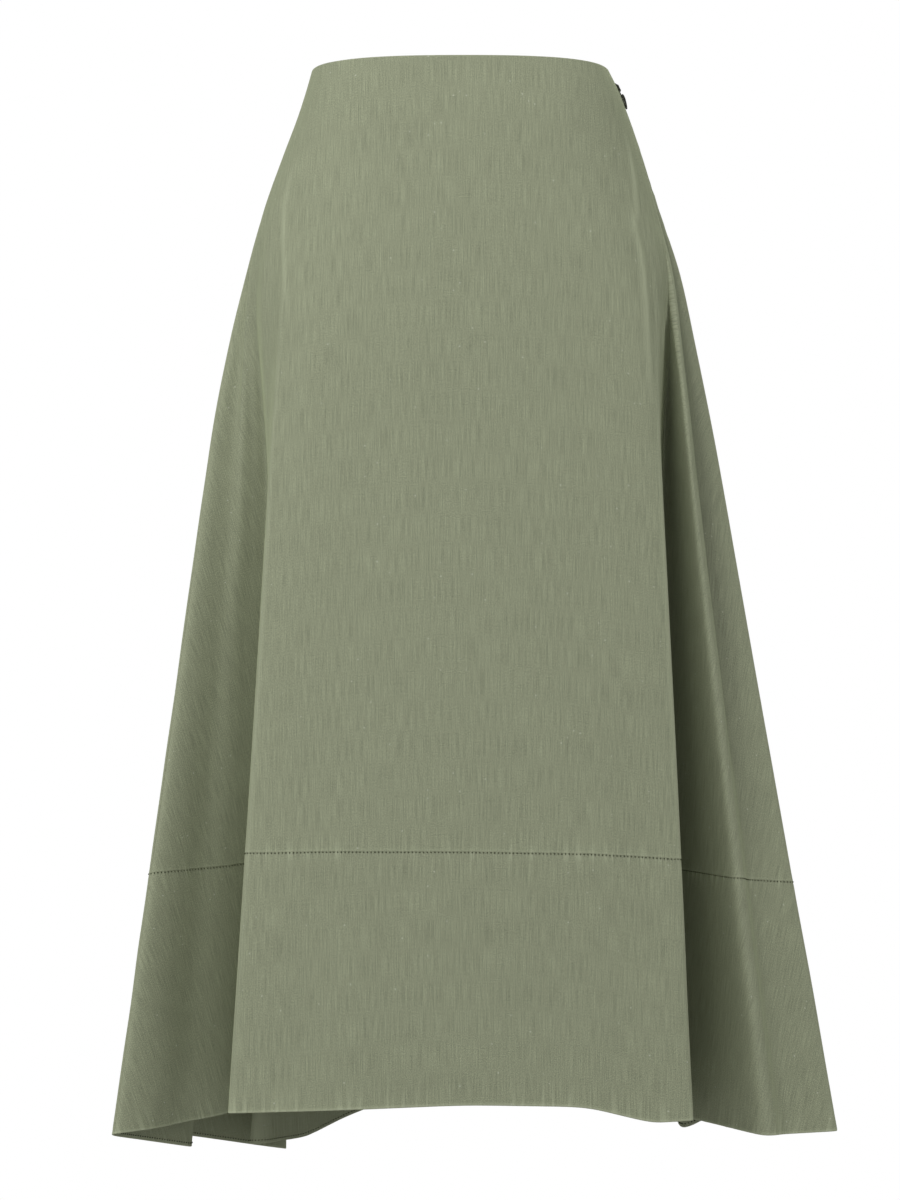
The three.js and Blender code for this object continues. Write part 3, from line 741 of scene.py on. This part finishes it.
# Inputs of the grain group
THREAD_GRAIN = {"Scale": (2600, 2600, 1400), "Detail": 1, "Low": 0.3, "High": 0.7, "Dark": 0.75, "Light": 1.2}
TAPE_GRAIN = {"Scale": (1500, 1500, 300), "Detail": 2, "Low": 0.25, "High": 0.75, "Dark": 0.8, "Light": 1.2}
LACQUER_GRAIN = {"Scale": (900, 900, 900), "Detail": 3, "Low": 0.5, "High": 0.7, "Dark": 0.5, "Light": 4}
LACQUER_ROUGHNESS = (0.3, 0.7, 0.3, 0.55)  # two values of that grain, and how rough it is there


def node(tree, kind, inputs=None, **settings):
    """A new shader node: its settings, and its inputs set to values or linked from other nodes' outputs."""
    made = tree.nodes.new(kind)
    for key, value in settings.items():
        setattr(made, key, value)
    for key, value in (inputs or {}).items():
        if isinstance(value, bpy.types.NodeSocket):
            tree.links.new(value, made.inputs[key])
        else:
            made.inputs[key].default_value = value
    return made


def maths(tree, operation, *values):
    """The output of a Math node over one to three values or sockets."""
    return node(tree, "ShaderNodeMath", dict(enumerate(values)), operation=operation).outputs[0]


def ramp(tree, value, low, high, bottom=0.0, top=1.0):
    """A value carried smoothly from low..high to bottom..top."""
    inputs = {"Value": value, 1: low, 2: high, 3: bottom, 4: top}
    return node(tree, "ShaderNodeMapRange", inputs, interpolation_type="SMOOTHSTEP").outputs[0]


def stretched_noise(tree, vector, scale, detail):
    """Noise whose grains are 1/scale metres in each direction."""
    placed = node(tree, "ShaderNodeMapping", {"Vector": vector, "Scale": scale}).outputs[0]
    return node(tree, "ShaderNodeTexNoise", {"Vector": placed, "Scale": 1.0, "Detail": detail}).outputs[0]


def mixed(tree, share, first, second):
    """The first colour with a share of the second over it."""
    mix = node(tree, "ShaderNodeMix", {"Factor": share, "A": first, "B": second}, data_type="VECTOR")
    return mix.outputs["Result"]


def node_group(name, inputs, outputs):
    """An empty shader group with the given sockets, each a label and a kind, and its two end nodes."""
    tree = bpy.data.node_groups.new(name, "ShaderNodeTree")
    for way, sockets in (("INPUT", inputs), ("OUTPUT", outputs)):
        for label, kind in sockets:
            tree.interface.new_socket(label, in_out=way, socket_type=f"NodeSocket{kind}")
    return tree, node(tree, "NodeGroupInput").outputs, node(tree, "NodeGroupOutput")


def slub_weave_group():
    """Plain weave with uneven yarns: its tone, its light slubs and neps, and its relief in millimetres.

    Place is the cloth's flat place in metres, with the warp along Y. Yarn is the pitch of the yarns.
    """
    inputs = [("Place", "Vector"), ("Yarn", "Float")]
    outputs = [(label, "Float") for label in ("Tone", "Slub", "Nep", "Height")]
    tree, given, result = node_group("slub_weave", inputs, outputs)
    place = given["Place"]
    tone, grains = 1.0, []
    for across, along, detail, depth in YARN_TONES:
        grains.append(stretched_noise(tree, place, (across, along, 1), detail))
        tone = maths(tree, "MULTIPLY_ADD", maths(tree, "SUBTRACT", grains[-1], 0.5), depth, tone)
    slub = ramp(tree, stretched_noise(tree, place, SLUB_GRAIN, 1), *SLUB_RANGE)
    cells = node(tree, "ShaderNodeTexVoronoi", {"Vector": place, "Scale": NEP_CELLS}).outputs
    odd = node(tree, "ShaderNodeSeparateColor", {"Color": cells["Color"]}).outputs[0]
    spot = ramp(tree, cells["Distance"], *NEP_SIZE, 1.0, 0.0)
    nep = maths(tree, "MULTIPLY", spot, maths(tree, "GREATER_THAN", odd, NEP_RARITY))
    axes = node(tree, "ShaderNodeSeparateXYZ", {"Vector": place}).outputs
    turn = maths(tree, "DIVIDE", math.pi, given["Yarn"])
    over = [maths(tree, "SINE", maths(tree, "MULTIPLY", axis, turn)) for axis in (axes["X"], axes["Y"])]
    threads = maths(tree, "MULTIPLY", *over)
    warp = maths(tree, "MULTIPLY", grains[0], WARP_RELIEF)
    height = maths(tree, "MULTIPLY_ADD", threads, YARN_RELIEF, warp)
    for label, value in (("Tone", tone), ("Slub", slub), ("Nep", nep), ("Height", height)):
        tree.links.new(value, result.inputs[label])
    return tree


def grain_group():
    """A colour broken up by noise of Scale grains per metre: the broken colour, and the noise itself.

    The colour is Dark times itself where the noise is Low or less, and Light times where it is High or more.
    """
    numbers = [(label, "Float") for label in ("Detail", "Low", "High", "Dark", "Light")]
    inputs = [("Colour", "Color"), ("Scale", "Vector"), *numbers]
    tree, given, result = node_group("grain", inputs, [("Colour", "Color"), ("Grain", "Float")])
    place = node(tree, "ShaderNodeTexCoord").outputs["Object"]
    grain = stretched_noise(tree, place, given["Scale"], given["Detail"])
    factor = ramp(tree, grain, given["Low"], given["High"], given["Dark"], given["Light"])
    broken = node(tree, "ShaderNodeVectorMath", {0: given["Colour"], "Scale": factor}, operation="SCALE")
    tree.links.new(broken.outputs[0], result.inputs["Colour"])
    tree.links.new(grain, result.inputs["Grain"])
    return tree


def principled(name, **values):
    """A new material with one Principled BSDF, whose named sockets are set to values."""
    material = bpy.data.materials.new(name)
    material.use_nodes = True
    shader = material.node_tree.nodes["Principled BSDF"]
    for key, value in values.items():
        shader.inputs[key.replace("_", " ")].default_value = value
    return material, material.node_tree, shader


def grained(name, colour, inputs, **values):
    """A new material with the grain group on its base colour, and the group's noise."""
    material, tree, shader = principled(name, **values)
    group = bpy.data.node_groups.get("grain") or grain_group()
    grain = node(tree, "ShaderNodeGroup", node_tree=group)
    for key, value in {"Colour": (*colour, 1), **inputs}.items():
        grain.inputs[key].default_value = value
    tree.links.new(grain.outputs["Colour"], shader.inputs["Base Color"])
    return material, tree, shader, grain.outputs["Grain"]


def add_bump(tree, shader, height, strength, distance):
    """Bump on the shader's normal. Each 1 of height is as far as `distance`."""
    bump = node(tree, "ShaderNodeBump", {"Strength": strength, "Distance": distance, "Height": height})
    tree.links.new(bump.outputs[0], shader.inputs["Normal"])


def cotton_material(cloth):
    """Matt cotton: the weave's tones and bump, paler for wear and painted highlights, gathered where it is
    sewn, and darker for painted shade.
    """
    material, tree, shader = principled(
        "sage_cotton",
        Roughness=0.9,
        Specular_IOR_Level=0.2,
        Sheen_Weight=0.4,
        Sheen_Roughness=0.4,
        Sheen_Tint=(0.62, 0.70, 0.42, 1),
    )
    place = node(tree, "ShaderNodeUVMap", uv_map="weave").outputs[0]
    weave = node(tree, "ShaderNodeGroup", node_tree=slub_weave_group())
    tree.links.new(place, weave.inputs["Place"])
    weave.inputs["Yarn"].default_value = cloth.yarn
    wear_and_highlight, pucker, shade, inside = (
        node(tree, "ShaderNodeAttribute", attribute_name=mask).outputs["Fac"]
        for mask in ("wear_and_highlight", "pucker", "shade", "inside")
    )
    # The shade mask is painted shade: it darkens the cotton's tone
    tone = maths(tree, "MULTIPLY_ADD", shade, SHADE_TONE, weave.outputs["Tone"])
    tone = maths(tree, "MULTIPLY_ADD", inside, INSIDE_TONE, tone)
    tinted = node(tree, "ShaderNodeVectorMath", {0: tuple(cloth.colour), "Scale": tone}, operation="SCALE")
    gather = ramp(tree, stretched_noise(tree, place, GATHER_GRAIN, 1), *GATHER_RANGE)
    gathered = maths(tree, "MULTIPLY", gather, pucker)
    # Paler for wear with a painted highlight, for the light slubs, and for a painted highlight on the
    # gathers' ridges
    light = maths(tree, "MULTIPLY", wear_and_highlight, WEAR_AND_HIGHLIGHT_PALENESS)
    light = maths(tree, "MULTIPLY_ADD", weave.outputs["Slub"], SLUB_PALENESS, light)
    # A painted highlight on the ridges of the gathers
    light = maths(tree, "MULTIPLY_ADD", gathered, GATHER_HIGHLIGHT, light)
    pale = tuple(min(1.0, PALE_TIMES * value + PALE_PLUS) for value in cloth.colour)
    worn_and_highlit = mixed(tree, light, tinted.outputs[0], pale)
    nep = maths(tree, "MULTIPLY", weave.outputs["Nep"], NEP_PALENESS)
    tree.links.new(mixed(tree, nep, worn_and_highlit, NEP_COLOUR), shader.inputs["Base Color"])
    height = maths(tree, "MULTIPLY_ADD", gathered, GATHER_RELIEF, weave.outputs["Height"])
    add_bump(tree, shader, height, strength=0.7, distance=0.001)
    return material


def cotton(cloth):
    """The cotton, which all the pieces of cloth share."""
    return bpy.data.materials.get("sage_cotton") or cotton_material(cloth)


def thread_material(name, colour):
    """Sewing thread, mottled as finely as its plies."""
    material, tree, shader, plies = grained(
        name, colour, THREAD_GRAIN, Roughness=0.8, Specular_IOR_Level=0.25
    )
    add_bump(tree, shader, plies, strength=0.5, distance=0.0003)
    return material


def tape_material(colour):
    """Zip tape: a close weave of fine ribs that run down it."""
    material, tree, shader, ribs = grained(
        "zip_tape_cloth", colour, TAPE_GRAIN, Roughness=0.88, Specular_IOR_Level=0.25
    )
    add_bump(tree, shader, ribs, strength=0.6, distance=0.0004)
    return material


def lacquer_material(name, colour, metallic):
    """A dark finish on metal or nylon, rubbed in patches."""
    material, tree, shader, patches = grained(
        name, colour, LACQUER_GRAIN, Metallic=metallic, Specular_IOR_Level=0.3
    )
    tree.links.new(ramp(tree, patches, *LACQUER_ROUGHNESS), shader.inputs["Roughness"])
    return material


def floor_material():
    """A pale studio floor that itself looks plain white."""
    material, tree, shader = principled(
        "studio_white", Base_Color=(0.5, 0.5, 0.5, 1), Specular_IOR_Level=0.0, Emission_Color=(1, 1, 1, 1)
    )
    seen = node(tree, "ShaderNodeLightPath").outputs["Is Camera Ray"]
    tree.links.new(seen, shader.inputs["Emission Strength"])
    place = node(tree, "ShaderNodeTexCoord").outputs["Object"]
    grain = stretched_noise(tree, place, (40, 40, 40), 2)
    tree.links.new(ramp(tree, grain, 0.0, 1.0, 0.9, 1.0), shader.inputs["Roughness"])
    return material


# ---- Sewing and zip ----------------------------------------------------------------------------------------

SEAM_STITCHES = OVERLAP + 1.0  # height of the seam's stitches under the band's upper edge
SEAM_STITCH_LIFT = 0.15  # of the stitches' middle out of the cloth
HEM_STITCH_LIFT = 0.1

# The rings of one stitch, whose ends dip into the cloth. Columns: way along it in lengths, rise and radius in
# the thread's radii
STITCH_RINGS = ((-0.5, -0.5, 0.5), (-0.25, 0.25, 1.0), (0.25, 0.25, 1.0), (0.5, -0.5, 0.5))
STITCH_CORNERS = np.array([(1, 0), (0, 1), (-1, 0), (0, -1)], float)  # of each ring, across and up

COIL_TOP = 9.0  # drop of the closed coil's first turn, inside the slider
COIL_STEPS = 8  # points in one turn of it
COIL_THICKNESS = 1.9
COIL_THREAD = 0.45  # radius of the coil's own thread
COIL_SIDES = 5

# How far the coil's middle lies outside the middle of the cloth. Columns: drop away
COIL_WAY = ((COIL_TOP, 1.5), (22, 1.5), (33, 0.2), (46, -2.9), (ZIP_FOOT, -2.9))

PULL_DROPS = np.linspace(15.9, 27.2, 9)  # of the raised rib down the pull, below its window
PULL_AWAY = np.interp(PULL_DROPS, (15.9, 28), (4.0, 2.9))
PULL_RADII = (0.7, 1.3, 1.45, 1.45, 1.4, 1.3, 1.15, 0.9, 0.5)
CHEEK_DROPS = np.linspace(6.9, 15.1, 7)  # of the slider's two rounded side walls
CHEEK_AWAY = (1.9, 2.5, 2.8, 2.9, 2.8, 2.5, 1.9)
CHEEK_RADII = (0.35, 0.7, 0.75, 0.75, 0.75, 0.7, 0.35)
CHEEK_BESIDE = 3.2

# Rounded bars down the seam: the slider's locking spring under its bridge, the rib that stiffens the pull and
# the slider's cheeks on either side of it. Columns: name body drops away radii beside sides
ZIP_BARS = (
    ("zip_spring", "skirt", (8.9, 9.3, 9.8, 10.2), (2.7, 2.9, 2.9, 2.6), 0.6, 0, 8),
    ("pull_rib", "pull", PULL_DROPS, PULL_AWAY, PULL_RADII, 0, 10),
    ("slider_cheek_front", "skirt", CHEEK_DROPS, CHEEK_AWAY, CHEEK_RADII, -CHEEK_BESIDE, 10),
    ("slider_cheek_back", "skirt", CHEEK_DROPS, CHEEK_AWAY, CHEEK_RADII, CHEEK_BESIDE, 10),
)


def sewn_line(name, side, away, pitch):
    """Places every `pitch` millimetres along a line of sewing that keeps `away` from an edge of a cloth."""
    points, normals, distance = SEWN[name][side]
    row = (distance < away).sum(axis=0)
    column = np.arange(len(row))
    before, after = distance[row - 1, column], distance[row, column]
    share = ((away - before) / (after - before))[:, None]
    grids = [grid[row - 1, column] * (1 - share) + grid[row, column] * share for grid in (points, normals)]
    run = np.concatenate([[0], np.cumsum(np.linalg.norm(np.diff(grids[0], axis=0), axis=1))])
    at = np.arange(pitch / 2, run[-1], pitch)
    places, facing = (np.stack([np.interp(at, run, values) for values in grid.T], axis=1) for grid in grids)
    return places, unit(facing)


def tube_faces(rings, sides):
    """The quads round a tube of rings of points, and the faces that close its two ends."""
    here = np.arange(rings - 1)[:, None] * sides + np.arange(sides)
    beside = np.arange(rings - 1)[:, None] * sides + (np.arange(sides) + 1) % sides
    quads = np.stack([here, beside, beside + sides, here + sides], axis=-1).reshape(-1, 4)
    return quads, (np.arange(sides)[::-1], np.arange((rings - 1) * sides, rings * sides))


def stitch_object(name, places, normals, along, length, radius, material):
    """A row of stitches as one mesh, each a short thread of the rings of STITCH_RINGS."""
    across = unit(np.cross(normals, along))
    rings = []
    for step, lift, size in STITCH_RINGS:
        centre = places + along * (step * length) + normals * (lift * radius)
        spokes = STITCH_CORNERS[:, :1] * across[:, None] + STITCH_CORNERS[:, 1:] * normals[:, None]
        rings.append(centre[:, None] + spokes * (size * radius))
    points = np.stack(rings, axis=1)
    quads, ends = tube_faces(len(STITCH_RINGS), len(STITCH_CORNERS))
    first = np.arange(len(places))[:, None] * len(STITCH_RINGS) * len(STITCH_CORNERS)
    faces = np.concatenate([first + face for face in (*quads, *ends)]).tolist()
    built = new_object(name, points, faces, material)
    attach(built, "skirt")


def swept_tube(name, path, normals, radius, sides, material):
    """A tube of `sides` sides along a path, closed at its ends, with its frame turned to the normals."""
    tangent = unit(np.gradient(path, axis=0))
    across = unit(np.cross(normals, tangent))
    lift = np.cross(tangent, across)
    angle = 2 * math.pi * np.arange(sides) / sides
    ring = np.cos(angle)[None, :, None] * across[:, None] + np.sin(angle)[None, :, None] * lift[:, None]
    points = path[:, None] + ring * np.broadcast_to(radius, len(path))[:, None, None]
    quads, ends = tube_faces(len(path), sides)
    return new_object(name, points, [face.tolist() for face in (*quads, *ends)], material)


def seam_line(drops, away):
    """Points down the left side seam, `away` outside its cloth's middle, and the cloth's three ways there."""
    rows = np.repeat(np.array(drops, float)[:, None], CONTROL_COUNT, axis=1)
    column = np.array([crest_column("left_seam")], float)
    points, normals, across, down = (grid[:, 0] for grid in cloth_surface(column, rows))
    return points + normals * np.array(away)[:, None], normals, across, down


def zip_coil(pitch, width, material):
    """The closed coil, a flattened spiral that shows beside the slider and sinks behind the seam below it."""
    drops = np.arange(COIL_TOP, ZIP_FOOT, pitch / COIL_STEPS)
    middle, normals, across, down = seam_line(drops, np.interp(drops, *zip(*COIL_WAY)))
    turn = 2 * math.pi * np.arange(len(drops))[:, None] / COIL_STEPS
    path = middle + across * np.cos(turn) * (width / 2 - COIL_THREAD)
    path += normals * np.sin(turn) * (COIL_THICKNESS / 2 - COIL_THREAD)
    built = swept_tube("zip_coil", path, down, COIL_THREAD, COIL_SIDES, material)
    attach(built, "skirt")


def zip_bar(name, body, drops, away, radii, beside, sides, material):
    """A rounded bar down the seam, `away` outside the cloth's middle and `beside` the seam to the back."""
    path, normals, across, _ = seam_line(drops, away)
    built = swept_tube(name, path + across * beside, normals, radii, sides, material)
    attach(built, body)


# ---- Studio ------------------------------------------------------------------------------------------------

VIEW_MIDDLE = Vector((-0.0126, 0.0, -0.414))  # what the camera and the lights face
SENSOR_WIDTH = 36  # of the camera, in millimetres
VIEW_DEPTH = 20  # past which the camera sees nothing
FLOOR_DROP = 1.0  # of the floor below the waist, in metres
FLOOR_REACH = 0.6  # from its middle to each side
LIGHT_DISTANCE = 3.0

# Where each light stands, seen from the skirt's middle: its turn from straight in front towards the wearer's
# left and its height, in degrees, its width in metres and its power as a share of the key setting. Columns:
# name turn height size power
LIGHTS = (
    ("key_light", -25, 45, 1.4, 1.0),
    ("front_light", 0, 10, 1.4, 0.24),
    ("left_fill", 80, 15, 1.4, 0.35),
    ("right_fill", -80, 15, 1.4, 0.25),
    ("back_light", 180, 0, 4.0, 0.87),
)


def soft_light(name, turn, height, size, power):
    """A square area light that faces the skirt's middle, unseen by the camera."""
    turn, height = math.radians(turn), math.radians(height)
    level = math.cos(height)
    away = Vector((math.sin(turn) * level, -math.cos(turn) * level, math.sin(height)))
    light = bpy.data.lights.new(name, "AREA")
    light.size = size
    light.energy = power
    lamp = bpy.data.objects.new(name, light)
    facing = (-away).to_track_quat("-Z", "Y").to_matrix().to_4x4()
    lamp.matrix_world = Matrix.Translation(VIEW_MIDDLE + away * LIGHT_DISTANCE) @ facing
    lamp.visible_camera = False
    bpy.context.scene.collection.objects.link(lamp)


def studio_floor():
    """A white floor under the hanging skirt."""
    corners = np.array([(-1, -1, 0), (1, -1, 0), (1, 1, 0), (-1, 1, 0)]) * FLOOR_REACH
    points = (corners - (0, 0, FLOOR_DROP)) * MILLIMETRES
    new_object("floor", points, [(0, 1, 2, 3)], floor_material())


def studio_world(fill):
    """Even light of strength `fill` from all round, which itself looks white."""
    world = bpy.data.worlds.new("studio")
    world.use_nodes = True
    tree = world.node_tree
    seen = node(tree, "ShaderNodeLightPath").outputs["Is Camera Ray"]
    background = tree.nodes["Background"].inputs
    background["Color"].default_value = (1, 1, 1, 1)
    tree.links.new(maths(tree, "MULTIPLY_ADD", seen, 1 - fill, fill), background["Strength"])
    return world


def front_camera(distance, lens):
    """A camera straight in front of the skirt's middle."""
    camera = bpy.data.objects.new("camera", bpy.data.cameras.new("camera"))
    camera.data.lens = lens
    camera.data.sensor_width = SENSOR_WIDTH
    camera.data.clip_end = VIEW_DEPTH
    place = Matrix.Translation(VIEW_MIDDLE - Vector((0, distance, 0)))
    camera.matrix_world = place @ Matrix.Rotation(math.pi / 2, 4, "X")
    bpy.context.scene.collection.objects.link(camera)
    return camera


# ---- Settings ----------------------------------------------------------------------------------------------


def length_setting(name, description, default):
    """A length in metres that the user can set."""
    return bpy.props.FloatProperty(
        name=name, description=description, default=default, min=0, unit="LENGTH", precision=4
    )


def colour_setting(name, description, default):
    """A colour that the user can set."""
    return bpy.props.FloatVectorProperty(
        name=name, description=description, default=default, min=0, max=1, subtype="COLOR"
    )


class SkirtClothSettings(bpy.types.PropertyGroup):
    """The skirt's cotton and how it hangs."""

    colour: colour_setting("Cloth colour", "Colour of the cotton", (0.262, 0.283, 0.190))
    yarn: length_setting("Yarn pitch", "From one yarn to the next", 0.0005)
    column_width: length_setting("Column width", "Width of one mesh face at the hem", 0.0034)
    row_height: length_setting("Row height", "Height of one mesh face", 0.01)
    crease_depth: bpy.props.FloatProperty(
        name="Crease depth", description="Scale of the soft creases", default=1.0, min=0, max=3
    )
    pucker_depth: length_setting("Pucker depth", "Depth of the gathers at seams", 0.0003)


class SkirtSewingSettings(bpy.types.PropertyGroup):
    """The skirt's stitches."""

    pitch: length_setting("Stitch pitch", "From one stitch to the next", 0.0028)
    length: length_setting("Stitch length", "Length of thread that shows", 0.0011)
    thread: length_setting("Thread radius", "Radius of the sewing thread", 0.0005)
    seam_colour: colour_setting("Seam thread", "Thread in the band's seam", (0.055, 0.062, 0.030))
    hem_colour: colour_setting("Hem thread", "Thread inside the hem", (0.035, 0.040, 0.018))


class SkirtZipSettings(bpy.types.PropertyGroup):
    """The concealed side zip."""

    coil_pitch: length_setting("Coil pitch", "From one turn of the coil to the next", 0.0013)
    coil_width: length_setting("Coil width", "Width of the closed coil", 0.0042)
    tape_colour: colour_setting("Tape colour", "Colour of the tape", (0.14, 0.155, 0.10))
    metal_colour: colour_setting("Metal colour", "Colour of slider, pull and coil", (0.035, 0.037, 0.026))


class SkirtStageSettings(bpy.types.PropertyGroup):
    """The studio round the skirt."""

    distance: length_setting("Camera distance", "From the skirt's middle to the camera", 2.6)
    lens: bpy.props.FloatProperty(name="Lens", description="Focal length in millimetres", default=98.73)
    key: bpy.props.FloatProperty(
        name="Key light", description="Power of the main soft light", default=58, unit="POWER"
    )
    fill: bpy.props.FloatProperty(
        name="Fill", description="Strength of the even light all round", default=0.25
    )


# ---- Operators ---------------------------------------------------------------------------------------------


class SKIRT_OT_panels(bpy.types.Operator):
    """Cut and hang the front and the back panel"""

    bl_idname = "skirt.panels"
    bl_label = "Panels"

    def execute(self, context):
        for side, flat, area in PANEL_SHEETS:
            built = cloth_piece(side, "panel", f"{side}_panel", context.scene.skirt_cloth)
        return {"FINISHED"}


class SKIRT_OT_bands(bpy.types.Operator):
    """Join the front and the back hem band under the panels"""

    bl_idname = "skirt.bands"
    bl_label = "Hem bands"

    def execute(self, context):
        for side, flat, area in BAND_SHEETS:
            built = cloth_piece(side, "band", f"{side}_hem_band", context.scene.skirt_cloth)
        return {"FINISHED"}


class SKIRT_OT_sewing(bpy.types.Operator):
    """Sew the band's seam and the hem"""

    bl_idname = "skirt.sewing"
    bl_label = "Sewing"

    def execute(self, context):
        sewing = context.scene.skirt_sewing
        sizes = (sewing.pitch, sewing.length, sewing.thread)
        pitch, length, radius = (size * MILLIMETRES for size in sizes)
        seam = thread_material("seam_thread", sewing.seam_colour)
        hem = thread_material("hem_thread", sewing.hem_colour)
        lines = (
            ("seam", "outside", SEAM_STITCHES, SEAM_STITCH_LIFT, seam),
            ("hem", "inside", HEM_STITCHES, HEM_STITCH_LIFT, hem),
        )
        for cloth in ("front_band_cloth", "back_band_cloth"):
            for line, side, away, lift, material in lines:
                places, normals = sewn_line(cloth, side, away, pitch)
                along = unit(np.gradient(places, axis=0))
                name = cloth.replace("cloth", f"{line}_stitches")
                stitch_object(name, places + lift * normals, normals, along, length, radius, material)
        return {"FINISHED"}


class SKIRT_OT_zip(bpy.types.Operator):
    """Set the closed zip in the left side seam"""

    bl_idname = "skirt.zip"
    bl_label = "Side zip"

    def execute(self, context):
        settings = context.scene.skirt_zip
        metal = lacquer_material("dark_lacquer", settings.metal_colour, metallic=0.4)
        tape = tape_material(settings.tape_colour)
        for name, material in (("zip_slider", metal), ("zip_pull", metal), ("zip_tape", tape)):
            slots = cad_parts[name].data.materials
            slots.clear()
            slots.append(material)
        coil = lacquer_material("dark_nylon", settings.metal_colour, metallic=0.0)
        zip_coil(settings.coil_pitch * MILLIMETRES, settings.coil_width * MILLIMETRES, coil)
        for bar in ZIP_BARS:
            zip_bar(*bar, metal)
        return {"FINISHED"}


class SKIRT_OT_stage(bpy.types.Operator):
    """Set up the floor, the lights and the camera"""

    bl_idname = "skirt.stage"
    bl_label = "Studio"

    def execute(self, context):
        scene = context.scene
        settings = scene.skirt_stage
        scene.view_settings.view_transform = "Standard"
        studio_floor()
        scene.world = studio_world(settings.fill)
        for name, turn, height, size, power in LIGHTS:
            soft_light(name, turn, height, size, settings.key * power)
        scene.camera = front_camera(settings.distance, settings.lens)
        return {"FINISHED"}


class SKIRT_PT_panel(bpy.types.Panel):
    """The skirt's settings and steps"""

    bl_idname = "SKIRT_PT_panel"
    bl_label = "Flared skirt"
    bl_space_type = "VIEW_3D"
    bl_region_type = "UI"
    bl_category = "Skirt"

    def draw(self, context):
        for settings, steps in GROUPS:
            box = self.layout.box()
            group = getattr(context.scene, settings)
            for key in group.__annotations__:
                box.prop(group, key)
            for step in steps:
                box.operator(step)


GROUPS = (
    ("skirt_cloth", ("skirt.panels", "skirt.bands")),
    ("skirt_sewing", ("skirt.sewing",)),
    ("skirt_zip", ("skirt.zip",)),
    ("skirt_stage", ("skirt.stage",)),
)
SETTINGS = {
    "skirt_cloth": SkirtClothSettings,
    "skirt_sewing": SkirtSewingSettings,
    "skirt_zip": SkirtZipSettings,
    "skirt_stage": SkirtStageSettings,
}
CLASSES = (
    *SETTINGS.values(),
    SKIRT_OT_panels,
    SKIRT_OT_bands,
    SKIRT_OT_sewing,
    SKIRT_OT_zip,
    SKIRT_OT_stage,
    SKIRT_PT_panel,
)


def register():
    for cls in CLASSES:
        bpy.utils.register_class(cls)
    for name, cls in SETTINGS.items():
        setattr(bpy.types.Scene, name, bpy.props.PointerProperty(type=cls))


def unregister():
    for name in SETTINGS:
        delattr(bpy.types.Scene, name)
    for cls in reversed(CLASSES):
        bpy.utils.unregister_class(cls)


def main():
    register()
    bpy.ops.skirt.panels()
    bpy.ops.skirt.bands()
    bpy.ops.skirt.sewing()
    bpy.ops.skirt.zip()
    bpy.ops.skirt.stage()


if __name__ == "__main__":
    main()
